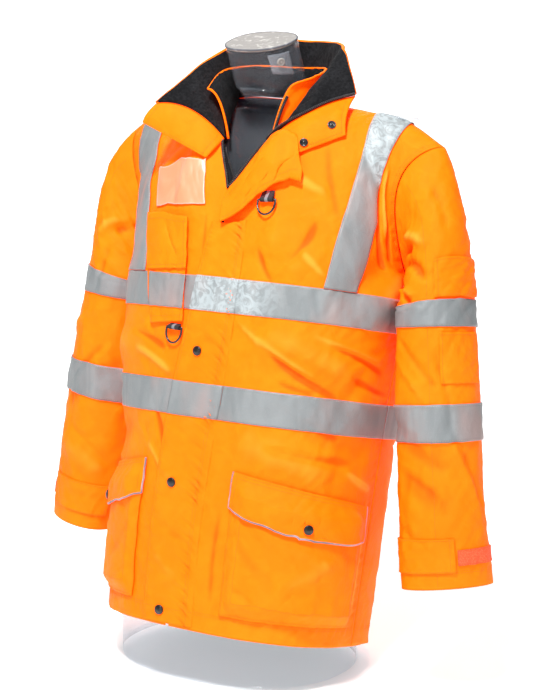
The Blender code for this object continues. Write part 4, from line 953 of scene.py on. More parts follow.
# ---------------------------------------------------------------------------------------------
# Sleeves
# ---------------------------------------------------------------------------------------------
# turn, row, turn, row, half width, height, bow
SLEEVE_FOLDS = {
    1: [(0.16, 0.22, 0.92, 0.62, 0.0220, -0.0052, 0.006), (0.34, 0.18, 0.55, 0.36, 0.0220, 0.0046, 0.000),
        (0.18, 0.78, 0.6, 0.66, 0.0200, 0.0040, 0.004), (0.62, 0.6, 0.86, 0.74, 0.0200, -0.0040, 0.003),
        (0.817, 0.133, 0.882, 0.464, 0.0059, -0.0032, 0.004), (0.882, 0.44, 1.046, 0.78, 0.0059, -0.0035, 0.004),
        (0.85, 0.44, 1.01, 0.79, 0.0066, 0.0032, 0.004), (0.62, 0.088, 0.834, 0.293, 0.0059, -0.0035, 0.004),
        (0.6, 0.15, 0.8, 0.35, 0.0066, 0.0029, 0.004), (0.644, 0.574, 0.822, 0.674, 0.0059, -0.0027, 0.003),
        (0.56, 0.76, 0.78, 0.86, 0.0059, -0.0024, 0.003), (0.56, -0.92, 0.7, -0.5, 0.0079, -0.0103, 0.006),
        (0.6, -0.6, 0.8, -0.2, 0.0079, -0.0074, 0.004), (0.57, -0.45, 0.72, -0.05, 0.0073, -0.0074, 0.000),
        (0.62, -0.8, 0.8, -0.42, 0.0086, 0.0074, 0.004), (0.58, -0.35, 0.74, -0.12, 0.0073, 0.0059, 0.000),
        (0.86, -0.85, 0.9, -0.45, 0.0079, -0.0032, 0.003), (0.2, -0.7, 0.34, -0.3, 0.0140, -0.0052, 0.004),
        (0.26, -0.55, 0.44, -0.15, 0.0140, 0.0046, 0.004)],
    -1: [(0.2, 0.3, 0.48, 0.2, 0.0220, -0.0046, 0.003), (0.02, 0.58, 0.34, 0.72, 0.0220, 0.0046, 0.004),
         (0.52, 0.3, 0.9, 0.56, 0.0220, -0.0046, 0.004), (0.6, 0.78, 0.9, 0.66, 0.0200, 0.0040, 0.003),
         (0.71, -0.33, 0.76, 0.07, 0.0066, -0.0044, 0.003), (0.64, 0.22, 0.9, 0.51, 0.0059, -0.0035, 0.004),
         (0.57, 0.75, 0.8, 0.6, 0.0059, -0.0029, 0.003), (0.56, -0.9, 0.7, -0.45, 0.0079, -0.0081, 0.004),
         (0.6, -0.75, 0.8, -0.3, 0.0086, 0.0059, 0.004), (0.2, -0.7, 0.34, -0.3, 0.0140, -0.0052, 0.004),
         (0.26, -0.55, 0.44, -0.15, 0.0140, 0.0046, 0.004), (0.7, 0.1, 0.95, 0.26, 0.0066, 0.0032, 0.003)],
}


def sleeve_relief(side):
    """Folds counted round the turn, slack ripples, and puckers at the armhole and cuff seams."""
    def relief(t, r):
        folds = sum(creases(SLEEVE_FOLDS[side], t + lap, r, SLEEVE_GIRTH, SLEEVE_GIRTH) for lap in (-1, 0, 1))
        x = SLEEVE_GIRTH * np.sin(2 * math.pi * t) / 4
        y = SLEEVE_GIRTH * np.cos(2 * math.pi * t) / 4
        slack = (ripples(x + r * 0.3, y + r * 0.2, 31 + side, 0.045, 0.0010)
                 + ripples(x + y, r * SLEEVE_GIRTH, 33 + side, 0.024, 0.0005))
        away = r - np.where(r < 0, -1, 0)
        ends = ease((1 - r) / 0.10) * np.where(r < 0, ease(away / 0.22), 1.0)
        seams = (puckers(t * SLEEVE_GIRTH, (r + 1) * 0.2, 35, 0.013, 0.010, 0.0012) * ease((r + 1) / 0.05)
                 + puckers(t * SLEEVE_GIRTH, (r - 0.94) * SLEEVE_GIRTH, 36, 0.014, 0.008, 0.0008))
        return (folds + slack) * ends + seams
    return relief


sleeve = {}
for side, word in SIDES:
    flip = np.array([side, 1.0, 1.0])
    rows = np.concatenate([-1 + 0.0004 + (1 - 0.0004) * along(0, 1, 61)[:-1], along(0, 1, 111)])
    cloth = Cloth(rows, np.arange(-2, 113) / 100, lambda c, r: sleeve_surface(c, r, side) * flip, -side,
                  sleeve_relief(side))
    sleeve[side] = cloth
    once = slice(2, 102)
    piece = Piece()
    # mark for the cloth's painted fold shade and ridge highlight: the folds' height
    piece.wall(cloth.points[:, once], (cloth.points - cloth.normals * SHELL)[:, once], ORANGE, NAVY, closed=True,
               mark=cloth.height[:, once] / 0.006)
    for row in (0.935, 0.943):
        piece.seam(cloth, along(0, 1, 260), row)
    piece.seam(cloth, 0.5, along(-0.95, 0.99, 240))
    piece.seam(cloth, 0.80, along(-0.93, 0.99, 260))
    piece.make(f"{word}_sleeve", "orange_cloth", f"sleeve_{word}", held="hung", rests_on=[f"{word}_front"])


# ---------------------------------------------------------------------------------------------
# Storm flap and lapel
# ---------------------------------------------------------------------------------------------
# across, lift off the front
FLAP_LIFT = ([-0.046, -0.030, -0.012, 0.004, 0.018, 0.032, 0.044],
             [0.0044, 0.0046, 0.0040, 0.0034, 0.0028, 0.0006, -0.0024])
# across, row, across, row, half width, height, bow
FLAP_FOLDS = [
    (-0.040, 0.330, 0.020, 0.300, 0.009, 0.0016, 0.002), (-0.030, 0.300, 0.036, 0.262, 0.008, -0.0014, 0.002),
    (-0.044, 0.235, 0.016, 0.206, 0.009, 0.0016, 0.002), (-0.040, 0.160, 0.030, 0.128, 0.009, -0.0016, 0.003),
    (-0.036, 0.110, 0.026, 0.072, 0.010, 0.0016, 0.002), (-0.020, 0.440, 0.036, 0.404, 0.008, -0.0012, 0.002),
    (-0.042, 0.560, 0.020, 0.528, 0.009, 0.0012, 0.002),
]


def flap_relief(across, row):
    """Its lift off the zip, soft slants, and herringbone puckers along both stitched edges."""
    lift = np.interp(across, *FLAP_LIFT) + FLAP_THICK
    right = puckers(row + 0.9 * (across - 0.030), across - 0.030, 41, 0.010, 0.010, 0.0018)
    left = puckers(row, across + 0.040, 42, 0.012, 0.006, 0.0006)
    slack = ripples(across, row, 43, 0.030, 0.00035)
    rims = ease((across - FLAP[0]) / 0.006) * ease((FLAP[1] - across) / 0.006)
    folds = creases(FLAP_FOLDS, across, row, 1.0)
    return lift + (right + left + slack + np.maximum(folds, -0.0014)) * rims


flap = Cloth(along(0.004, 0.618, 260), along(*FLAP, 37), flap_point, 1, flap_relief)
lift = np.interp(flap.c, *FLAP_LIFT) + FLAP_THICK
piece = Piece()
# mark for the cloth's painted fold shade and ridge highlight: the relief above the lift
piece.wall(flap.points, flap.points - flap.normals * FLAP_THICK, ORANGE, ORANGE, mark=(flap.height - lift) / 0.003)
for across in (-0.0405, 0.0295, 0.0335):
    piece.seam(flap, across, along(0.006, 0.612, 260))
piece.seam(flap, along(FLAP[0] + 0.002, FLAP[1] - 0.002, 30), 0.026)
piece.make("storm_flap_cloth", "orange_cloth", "storm_flap", held="hung", rests_on=["left_front"])

LAPEL_FOLDS = [(0.10, 0.30, 0.90, 0.42, 0.10, 0.0010, 0.0), (0.20, 0.75, 0.80, 0.62, 0.08, -0.0008, 0.0)]
u = along(0, 1, 71)[:, None]
w = along(0, 1, 49)[None, :]
lapel_column = (w + 0.22 * u**3 * np.sin(math.pi * w)) * (0.010 + 0.405 * u)
open_edge = V_BOTTOM + 0.006 + (0.780 - V_BOTTOM) * u
over_ring = 0.0026 * np.exp(-((u - 0.52) / 0.2)**2)
free_edge = 0.616 + 0.022 * u + 0.045 * u * (1 - u) + over_ring
lapel_row = open_edge * (1 - w) + free_edge * w
roll = 0.0085 * np.sin(math.pi * w) ** 0.8 * (0.6 + 0.4 * u)
lapel_out = 0.0012 + roll + 0.0125 * w * (1 - 0.55 * u)
lapel_out = lapel_out + creases(LAPEL_FOLDS, u, w, 1.0) + ripples(u * 0.10, w * 0.09, 51, 0.03, 0.0004) * w
piece = Piece()
piece.wall(front[1].at(lapel_column, lapel_row, lapel_out + 0.0030), front[1].at(lapel_column, lapel_row, lapel_out),
           ORANGE, ORANGE)
for share in (0.47, 0.94):
    k = int(share * 48)
    line = front[1].at(lapel_column[2:-2, k], lapel_row[2:-2, k], lapel_out[2:-2, k] + 0.0031)
    off = front[1].at(lapel_column[2:-2, k], lapel_row[2:-2, k], 1.0) - front[1].at(
        lapel_column[2:-2, k], lapel_row[2:-2, k])
    piece.stitches(line, off)
piece.make("lapel_cloth", "orange_cloth", "lapel", held="folded", rests_on=["left_front"])


# ---------------------------------------------------------------------------------------------
# Reflective tape
# ---------------------------------------------------------------------------------------------
TAPE = 0.0010


def tape(name, cloth, columns, rows, node, out=0.0004, mark=0.0, closed=False, seed=1, edges=(0.045, 0.955)):
    """A tape laid on a cloth over grids of its columns and rows, crinkled a little, stitched at both edges."""
    columns, rows = np.broadcast_arrays(columns, rows)
    wrinkle = 0.00028 * np.sin(ripples(columns * 0.3, rows * 0.25, seed, 0.020, 1.6))
    piece = Piece()
    piece.wall(cloth.at(columns, rows, out + TAPE + wrinkle), cloth.at(columns, rows, out), TAPE_SILVER,
               closed=closed, mark=mark)
    for share in edges:
        k = share * (columns.shape[0] - 1)
        i = int(k)
        c = columns[i] * (1 - (k - i)) + columns[min(i + 1, len(columns) - 1)] * (k - i)
        r = rows[i] * (1 - (k - i)) + rows[min(i + 1, len(rows) - 1)] * (k - i)
        piece.seam(cloth, c, r, out + TAPE + 0.0001, finish=GREY_THREAD)
    piece.make(name, "reflective_tape", node, held="laid", rests_on=[])


for side, word in SIDES:
    for (low, high), level in ((LOW_TAPE, "low"), (HIGH_TAPE, "high")):
        start = 0.143 if side > 0 else 0.060
        c = along(start, 0.9975, 110)[None, :]
        r = along(low, high, 13)[:, None]
        # painted glare on the left high tape, fading away from its front end
        painted_glare_share = 1.0 - ease((c - 0.20) / 0.22) if side > 0 and level == "high" else 0.0 * c
        tape(f"{word}_front_tape_{level}", front[side], c, r, f"tape_front_{word}_{level}",
             mark=0.95 * painted_glare_share + 0 * r, seed=60 + side)
# the flap's high tape carries painted glare
for (low, high), level, painted_glare_share in ((LOW_TAPE, "low", 0.0), (HIGH_TAPE, "high", 0.9)):
    tape(f"back_tape_{level}", back, along(-0.9975, 0.9975, 200)[None, :], along(low, high, 13)[:, None],
         f"tape_back_{level}", seed=63)
    tape(f"flap_tape_{level}", flap, along(FLAP[0] + 0.0006, FLAP[1] - 0.0006, 30)[None, :],
         along(low, high, 13)[:, None], f"tape_flap_{level}", mark=painted_glare_share, seed=64)

# row, then the middle column and half width of the left tape and of the right one
BRACE = np.array([
    (0.515, 0.618, 0.074, 0.530, 0.110),
    (0.580, 0.660, 0.083, 0.575, 0.110),
    (0.640, 0.730, 0.103, 0.700, 0.125),
    (0.705, 0.776, 0.103, 0.790, 0.105),
    (0.765, 0.735, 0.098, 0.775, 0.108),
    (0.7935, 0.700, 0.098, 0.745, 0.112),
])


def upright_tape(name, cloth, columns, rows, node, mark=0.0, seed=1):
    """A brace: its edges run up the cloth, so it is laid across its own grid turned on its side."""
    columns, rows = np.broadcast_arrays(columns, rows)
    mark = np.broadcast_to(mark, columns.shape)
    tape(name, cloth, columns.T, rows.T, node, out=0.0015, mark=mark.T, seed=seed)


brace_rows = np.concatenate([[HIGH_TAPE[1] + 0.0006], along(0.518, 0.7935, 70)])
for side, word, pick in ((1, "left", 0), (-1, "right", 2)):
    middle, half = smooth(BRACE, brace_rows)[:, pick:pick + 2].T
    spread = along(-1, 1, 13)[None, :]
    over = brace_rows[:, None] - (0.6685 - 0.0145 * spread)
    # painted glare on the upper part of the left brace
    painted_glare_share = ease(over / 0.012) * 0.95 if side > 0 else 0.0
    upright_tape(f"{word}_brace_front", front[side], middle[:, None] + half[:, None] * spread, brace_rows[:, None],
                 f"tape_brace_front_{word}", mark=painted_glare_share, seed=66 + side)
    top_middle = NECK_COLUMN + (1 - NECK_COLUMN) * middle[-1]
    top_half = (1 - NECK_COLUMN) * half[-1]
    fall = np.clip((brace_rows - HIGH_TAPE[1]) / 0.28, 0, 1)
    middle = 0.56 + (top_middle - 0.56) * fall
    half = 0.075 + (top_half - 0.075) * fall
    upright_tape(f"{word}_brace_back", back, side * (middle[:, None] + half[:, None] * spread), brace_rows[:, None],
                 f"tape_brace_back_{word}", seed=68 + side)

for side, word in SIDES:
    for level, low, high, off in (("high", -0.085, 0.055, 0.0011), ("low", 0.335, 0.470, 0.0014)):
        tape(f"{word}_sleeve_tape_{level}", sleeve[side], along(0, 1, 121)[None, :-1], along(low, high, 13)[:, None],
             f"tape_sleeve_{word}_{level}", out=off, closed=True, seed=70 + side)


# ---------------------------------------------------------------------------------------------
# Patches sewn on: sleeve pocket, cuff tabs, chest pieces
# ---------------------------------------------------------------------------------------------
def patch(cloth, columns, rows, out, thick, finish, inside=None, mark=0.0, stitched=(), seed=0, wrinkle=0.0):
    """A piece sewn on a cloth over a grid of its columns and rows. stitched holds shares of the way in from
    its edges: left, right, low, high lines are drawn as far in as the share says."""
    columns, rows, out = np.broadcast_arrays(columns, rows, out)
    slack = wrinkle * ripples(columns * 0.3, rows * 0.4, seed, 0.022, 1.0) if wrinkle else 0.0
    middle = np.sin(math.pi * along(0, 1, columns.shape[0]))[:, None] * np.sin(
        math.pi * along(0, 1, columns.shape[1]))[None, :]
    lifted = out + thick + slack * np.sqrt(middle)
    piece = Piece()
    piece.wall(cloth.at(columns, rows, lifted), cloth.at(columns, rows, out), finish, inside, mark=mark)
    n, m = columns.shape[0] - 1, columns.shape[1] - 1
    for edge, share in stitched:
        k = int(round(share * (n if edge in "bt" else m)))
        pick = {"b": np.s_[k, :], "t": np.s_[n - k, :], "l": np.s_[:, k], "r": np.s_[:, m - k]}[edge]
        piece.seam(cloth, columns[pick], rows[pick], lifted[pick] + 0.0001)
    return piece


def quad(corners, across, up, sag=(0.0, 0.0)):
    """Positions inside four corners: low left, low right, high right, high left, the low and high edges
    sagging in the middle by 4a(1 - a)."""
    a = along(0, 1, across + 1)[None, :, None]
    b = along(0, 1, up + 1)[:, None, None]
    low_left, low_right, high_right, high_left = np.array(corners, float)
    grid = (low_left * (1 - a) + low_right * a) * (1 - b) + (high_left * (1 - a) + high_right * a) * b
    grid[..., 1] -= (4 * a * (1 - a) * (sag[0] * (1 - b) + sag[1] * b))[..., 0]
    return grid[..., 0], grid[..., 1]


EDGES = (("b", 0.06), ("t", 0.06), ("l", 0.06), ("r", 0.06))
for side, word in SIDES:
    arm = sleeve[side]
    piece = patch(arm, along(0.55, 0.866, 50)[None, :], along(0.815, 0.940, 24)[:, None], 0.0004, 0.0022, ORANGE,
                  stitched=EDGES, seed=81 + side, wrinkle=0.0006)
    piece.make(f"{word}_cuff_tab", "orange_cloth", f"cuff_tab_{word}", held="laid", rests_on=[f"{word}_sleeve"])
    piece = patch(arm, along(0.874, 1.085, 40)[None, :], along(0.858, 0.915, 14)[:, None], 0.0004, 0.0016, HOOK,
                  stitched=(("b", 0.08), ("t", 0.08)))
    piece.make(f"{word}_hook_tape", "hook_tape", f"hook_tape_{word}", held="laid", rests_on=[f"{word}_sleeve"])
arm = sleeve[1]
piece = patch(arm, along(0.845, 1.045, 40)[None, :], along(0.075, 0.262, 36)[:, None], 0.0004, 0.0016, ORANGE,
              stitched=(("b", 0.06), ("l", 0.06), ("r", 0.06)), seed=85, wrinkle=0.0005)
piece.make("sleeve_pocket_cloth", "orange_cloth", "sleeve_pocket", held="laid", rests_on=["left_sleeve"])
piece = patch(arm, along(0.832, 1.058, 44)[None, :], along(-0.330, -0.100, 36)[:, None], 0.0008, 0.0026, ORANGE,
              stitched=EDGES, seed=86, wrinkle=0.0006)
piece.make("sleeve_pocket_cover", "orange_cloth", "sleeve_pocket_flap", held="laid", rests_on=["left_sleeve"])

chest = front[-1]
c, r = quad(((0.425, 0.598), (0.108, 0.649), (0.173, 0.715), (0.503, 0.645)), 48, 40, sag=(0.011, 0.022))
rim = np.minimum.reduce(np.broadcast_arrays(
    along(0, 1, 49)[None, :] / 0.05, (1 - along(0, 1, 49))[None, :] / 0.05,
    along(0, 1, 41)[:, None] / 0.05, (1 - along(0, 1, 41))[:, None] / 0.05))
piece = patch(chest, c, r, 0.0022, 0.0010, WINDOW, ORANGE, mark=1 - ease(rim), seed=88, wrinkle=0.0004)
piece.make("id_window_film", "window", "id_window", held="stretched", rests_on=["right_front"])
c, r = quad(((0.330, 0.437), (0.140, 0.444), (0.185, 0.588), (0.440, 0.578)), 44, 60)
piece = patch(chest, c, r, 0.0027, 0.0022, ORANGE, stitched=EDGES[:1] + EDGES[2:], seed=89, wrinkle=0.0005)
piece.make("phone_pocket_cloth", "orange_cloth", "phone_pocket", held="laid", rests_on=["right_front"])
c, r = quad(((0.388, 0.5155), (0.155, 0.5215), (0.190, 0.606), (0.458, 0.590)), 44, 40, sag=(0, 0.005))
piece = patch(chest, c, r, 0.0057, 0.0024, ORANGE, stitched=(("b", 0.07), ("l", 0.07), ("r", 0.07), ("t", 0.10)),
              seed=90, wrinkle=0.0006)
piece.make("phone_pocket_cover", "orange_cloth", "phone_pocket_flap", held="laid", rests_on=["phone_pocket_cloth"])
c, r = quad(((0.345, HIGH_TAPE[0]), (0.146, HIGH_TAPE[0]), (0.152, HIGH_TAPE[1] - 0.001),
             (0.372, HIGH_TAPE[1] - 0.001)), 30, 12)
tape("phone_pocket_tape", chest, c, r, "tape_phone_pocket", out=0.0057, seed=91)


# ---------------------------------------------------------------------------------------------
# Bellows pockets
# ---------------------------------------------------------------------------------------------
BAG = (0.290, 0.930, 0.030, 0.196)      # first and last column, low and high row
BAG_DEPTH = {1: 0.017, -1: 0.0105}
FLAP_STAND = {1: 0.0165, -1: 0.0125}
BAG_FOLDS = [
    (0.33, 0.155, 0.59, 0.066, 0.013, -0.0022, 0.004), (0.76, 0.127, 0.47, 0.048, 0.014, 0.0024, 0.004),
    (0.40, 0.175, 0.74, 0.120, 0.012, 0.0018, 0.003), (0.34, 0.080, 0.52, 0.046, 0.008, -0.0018, 0.002),
    (0.36, 0.066, 0.50, 0.038, 0.007, 0.0016, 0.002), (0.80, 0.180, 0.88, 0.060, 0.012, -0.0016, 0.003),
]
for side, word in SIDES:
    cloth = front[side]
    c = along(BAG[0], BAG[1], 81)[None, :]
    up = along(0, 1, 61)[:, None]
    across = (c - BAG[0]) / (BAG[1] - BAG[0])
    r = BAG[2] + (BAG[3] - 0.026 * across - BAG[2]) * up
    gusset = ease(across / 0.10) * ease((1 - across) / 0.10) * ease(up / 0.14)
    depth = BAG_DEPTH[side] * (1 - 0.35 * up) * (0.75 + 0.25 * np.sin(math.pi * across))
    folds = creases(BAG_FOLDS, c, r, BODY_GIRTH) + ripples(c * BODY_GIRTH, r, 95 + side, 0.03, 0.0005)
    out = 0.0016 + (depth + folds * (0.6 + 0.4 * (side > 0))) * gusset
    c, r, out = np.broadcast_arrays(c, r, out)
    piece = Piece()
    # mark for the cloth's painted fold shade and ridge highlight: the bag's folds
    piece.wall(cloth.at(c, r, out + 0.0018), cloth.at(c, r, out), ORANGE, ORANGE, mark=folds * gusset / 0.004)
    for pick in (np.s_[8, 8:-8], np.s_[8:, 8], np.s_[8:, -9], np.s_[1, 2:-2], np.s_[2:, 1], np.s_[2:, -2]):
        piece.seam(cloth, c[pick], r[pick], out[pick] + 0.0019)
    piece.make(f"{word}_pocket_bag", "orange_cloth", f"pocket_{word}", held="hung", rests_on=[f"{word}_front"])

    c = along(BAG[0] - 0.010, BAG[1] + 0.010, 85)[None, :]
    fall = along(0, 1, 41)[:, None]
    across = (c - c.min()) / (c.max() - c.min())
    seam_row = 0.238 - 0.030 * across
    drop = 0.052 + 0.014 * np.sin(math.pi * across)
    ends = ease(across / 0.16 + 0.1) * ease((1 - across) / 0.16 + 0.1)
    stand = 0.0016 + FLAP_STAND[side] * ease(fall / 0.55) * ends
    waves = ripples(c * BODY_GIRTH, -drop * fall, 97 + side, 0.035, 0.0006) * ease(fall / 0.3)
    c, r, out = np.broadcast_arrays(c, seam_row - drop * fall, stand + 0.0004 + waves * ends)
    piece = Piece()
    piece.wall(cloth.at(c, r, out + 0.0024)[::-1], cloth.at(c, r, out)[::-1], ORANGE, ORANGE)
    outline = np.concatenate([np.stack([c[:, 0], r[:, 0], out[:, 0]], -1),
                              np.stack([c[-1], r[-1], out[-1]], -1)[1:-1],
                              np.stack([c[::-1, -1], r[::-1, -1], out[::-1, -1]], -1)])
    corded = cloth.at(outline[:, 0], outline[:, 1], outline[:, 2] + 0.0012)
    facing = unit(cloth.at(outline[:, 0], outline[:, 1], 1.0) - cloth.at(outline[:, 0], outline[:, 1]))
    piece.cord(corded, facing, 0.00165, PIPING)
    for pick in (np.s_[2, 3:-3], np.s_[5, 3:-3], np.s_[-4, 3:-3], np.s_[3:-4, 3], np.s_[3:-4, -4]):
        piece.seam(cloth, c[pick], r[pick], out[pick] + 0.0025)
    piece.make(f"{word}_pocket_cover", "orange_cloth", f"pocket_flap_{word}", held="hung", rests_on=[f"{word}_front"])


# ---------------------------------------------------------------------------------------------
# Snaps, D-rings and their loops
# ---------------------------------------------------------------------------------------------
# radius, height
SNAP_PROFILE = ((0.0072, 0.0), (0.0072, 0.0012), (0.0069, 0.0020), (0.0058, 0.0027), (0.0050, 0.0026),
                (0.0042, 0.0031), (0.0022, 0.0036), (0.0006, 0.0036))
for name, cloth, column, row, out in (
        ("flap_snap_1", flap, -0.012, 0.404, 0.0004), ("flap_snap_2", flap, -0.012, 0.209, 0.0004),
        ("flap_snap_3", flap, -0.012, 0.022, 0.0004),
        ("pocket_snap_left", front[1], 0.615, 0.171, FLAP_STAND[1] + 0.0048),
        ("pocket_snap_right", front[-1], 0.615, 0.171, FLAP_STAND[-1] + 0.0048)):
    p, n, across, up = cloth.frame(column, row, out)
    piece = Piece()
    piece.knob(p, n, SNAP_PROFILE, SNAP_BLACK, sides=28)
    piece.make(f"{name}_cap", "snap", name)

LOOP_HOLE = 0.0024
WEB = 0.0013


def garment_step(step, height):
    """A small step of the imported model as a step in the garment's own axes at this height: world() turned round."""
    v, h = unleaned(step[1], step[2])
    tip = SHOULDER_TIP * ease((height - 0.45) / 0.30)
    return np.array([step[0], v, h + tip * step[0]])


for word, cloth, column, row, out, tail in (("right", chest, 0.180, 0.4345, 0.0009, 0.002),
                                            ("left", front[1], 0.262, 0.629, 0.0014, 0.011)):
    p, n, across, up = cloth.frame(column, row, out + LOOP_HOLE + WEB)
    hinge = next(joint for joint in frame["joints"] if joint["name"] == f"ring_{word}_swing")
    axis = unit(garment_step(hinge["axis"], p[2]))
    aside = garment_step(np.array(hinge["pos_m"]) - world(p), p[2])
    p = p + aside - axis * np.dot(aside, axis)
    across = axis * np.sign(np.dot(axis, across))
    n = unit(n - across * np.dot(n, across))
    up = np.cross(n, across) * np.sign(np.dot(np.cross(n, across), up))
    corner = 0.014
    bend = along(0, math.pi, 33)
    arc = np.stack([corner * np.cos(bend), -0.006 - 0.017 * np.sin(bend)], -1)
    bar = np.stack([along(-corner, corner, 12)[:-1], np.zeros(11)], -1)
    side_up = np.stack([np.full(3, corner), along(0, -0.006, 4)[:-1]], -1)
    side_down = np.stack([np.full(2, -corner), along(-0.006, 0, 4)[1:-1]], -1)
    flat = np.concatenate([side_up, arc, side_down, bar])
    piece = Piece()
    piece.cord(p + flat[:, :1] * across + flat[:, 1:] * up, n, 0.0016, RING_BLACK, closed=True, sides=10)
    piece.make(f"{word}_d_ring", "ring", f"d_ring_{word}", body=f"ring_{word}")
    eye = np.arange(40) / 40 * 2 * math.pi
    inside = np.stack([np.cos(eye), np.sin(eye)], -1) * LOOP_HOLE
    outside = np.stack([np.cos(eye), np.sin(eye)], -1) * (LOOP_HOLE + WEB)
    tailed = np.sin(eye) > 0.75
    outside[tailed, 1] += tail
    outside[tailed, 0] = np.clip(outside[tailed, 0], -LOOP_HOLE - WEB, -LOOP_HOLE)
    x = along(-0.010, 0.010, 13)
    grids = [p + across * x[:, None, None] + o[None, :, :1] * n + o[None, :, 1:] * up for o in (outside, inside)]
    piece = Piece()
    piece.wall(grids[0], grids[1], WEBBING, closed=True, mark=(np.abs(x) < 0.0031)[:, None] * 1.0)
    piece.make(f"{word}_ring_loop", "webbing", f"webbing_{word}", held="folded", rests_on=[f"{word}_front"])


# ---------------------------------------------------------------------------------------------
# Collars, zips and the inner jacket
# ---------------------------------------------------------------------------------------------
# place round the neck from -1 to 1, x, v, h of the top edge
COLLAR_TOP = np.array([
    (-1.00, -0.134, -0.184, 0.757), (-0.80, -0.116, -0.157, 0.792), (-0.60, -0.097, -0.117, 0.838),
    (-0.35, -0.080, -0.050, 0.881), (0.00, 0.000, 0.014, 0.896), (0.35, 0.076, -0.020, 0.887),
    (0.60, 0.098, -0.048, 0.873), (0.80, 0.114, -0.057, 0.846), (1.00, 0.134, -0.063, 0.807),
])
INNER_TOP = np.array([
    (-1.00, -0.070, -0.150, 0.786), (-0.60, -0.074, -0.098, 0.828), (-0.30, -0.060, -0.036, 0.846),
    (0.00, 0.000, -0.004, 0.852), (0.30, 0.062, -0.036, 0.848), (0.60, 0.077, -0.072, 0.832),
    (1.00, 0.060, -0.118, 0.806),
])
LAID_OPEN = np.array([0.012, -0.030, -0.016])


def neckline(place):
    """Neckline points by place round the neck: the back neck within a half, the fronts beyond."""
    size = np.abs(place)
    fore = smooth(FRONT_NECK, 0.36 - (0.36 - NECK_COLUMN) * np.clip((size - 0.5) / 0.5, 0, 1))
    rear = smooth(BACK_NECK, 0.36 * np.clip(size / 0.5, 0, 1))
    p = np.where((size > 0.5)[..., None], fore, rear)
    return p * vec(np.sign(place), 1 + 0 * place, 1 + 0 * place)


def collar_surface(place, rise, top_table, inset, laid_open):
    """A stand collar: from the neckline up, first steep and then flaring out to its top edge."""
    base = neckline(place)
    inward = unit((np.array([0.0, -0.055, 0.0]) - base) * np.array([1.0, 1.0, 0.0]))
    base = base + inward * inset + np.array([0.0, 0.0, 0.0012])
    top = smooth(top_table, place)
    turned = ease((np.abs(place) - 0.45) / 0.35)[..., None]
    opened = ease((place - 0.55) / 0.45)[..., None]
    knee = base * 0.5 + top * 0.5 + inward * 0.004 + np.array([0.0, -0.006, 0.034]) * turned + laid_open * opened
    w = rise[..., None]
    return base * (1 - w) ** 2 + knee * 2 * w * (1 - w) + top * w**2


def stand(top_table, inset, ends, laid_open, height, seed):
    """A collar as a cloth whose normals point away from the neck, with soft waves that grow upwards."""
    def relief(c, r):
        free = ease(r / 0.3) * ease((1 - np.abs(c / ends)) / 0.06)
        return ripples(c * 0.30, r * 0.09, seed, 0.045, height) * free * 0.6
    return Cloth(along(0, 1, 41), along(-ends, ends, 137),
                 lambda c, r: collar_surface(c, r, top_table, inset, laid_open), -1, relief)


collar = stand(COLLAR_TOP, 0.0, 0.996, LAID_OPEN, 0.0012, 101)
piece = Piece()
piece.wall(collar.points, collar.points - collar.normals * SHELL, ORANGE, ORANGE)
edge = collar.at(collar.columns, 1.0, -0.0026)
piece.cord(edge, collar.normals[-1], 0.0026, ORANGE_BINDING, sides=10)
for rise in (0.10, 0.90):
    piece.seam(collar, along(-0.98, 0.98, 240), rise)
piece.make("outer_collar", "orange_cloth", "collar_outer", held="folded", rests_on=["left_front", "back_panel"])

tufts = ripples(collar.c * 0.3, collar.r * 0.09, 103, 0.020, 0.0007)
pile = -0.0054 + (tufts - 0.0004) * np.sin(math.pi * np.clip(collar.r, 0.02, 0.98)) ** 0.5
piece = Piece()
piece.wall(collar.at(collar.c, collar.r, -0.0024), collar.at(collar.c, collar.r, pile), FLEECE, FLEECE)
piece.make("collar_fleece", "black_fleece", "collar_lining", held="stretched", rests_on=["outer_collar"])

inner = stand(INNER_TOP, 0.0074, 0.97, 0.0, 0.0012, 105)
piece = Piece()
piece.wall(inner.points, inner.points - inner.normals * 0.0016, ORANGE, ORANGE)
piece.cord(inner.at(inner.columns, 1.0, -0.0018), inner.normals[-1], 0.0018, ORANGE_BINDING, sides=8)
for k in (0, -1):
    piece.cord(inner.at(inner.columns[k], inner.rows, -0.0018), inner.normals[:, k], 0.0018, ORANGE_BINDING, sides=8)
piece.seam(inner, along(-0.95, 0.95, 200), 0.90)
piece.make("inner_jacket_collar", "orange_cloth", "inner_collar", held="folded", rests_on=["collar_fleece"])
tufts = ripples(inner.c * 0.3, inner.r * 0.09, 107, 0.020, 0.0005)
piece = Piece()
piece.wall(inner.at(inner.c, inner.r, -0.0020), inner.at(inner.c, inner.r, -0.0035 + np.minimum(tufts, 0.0004)),
           FLEECE, FLEECE)
piece.make("inner_collar_fleece", "black_fleece", "inner_collar_lining", held="stretched",
           rests_on=["inner_jacket_collar"])


def turned_down(end, inside, far, start_gap, reach, bow, count=37):
    """A strip that carries on past a collar's end and turns down to a far line, by a curve with one knee.
    Gives its middle surface and the normals towards the front."""
    away = unit(end - inside)
    start = end + away * start_gap
    knee = (start + far) / 2 + away * reach + np.array([0.0, -1.0, 0.2]) * bow
    w = along(0, 1, count)[:, None, None]
    grid = start * (1 - w) ** 2 + knee * 2 * w * (1 - w) + far * w**2
    n = unit(np.cross(np.gradient(grid, axis=1), np.gradient(grid, axis=0)))
    return grid, n if n[..., 1].mean() < 0 else -n


def line(start, end, count):
    t = along(0, 1, count)[:, None]
    return np.array(start) * (1 - t) + np.array(end) * t


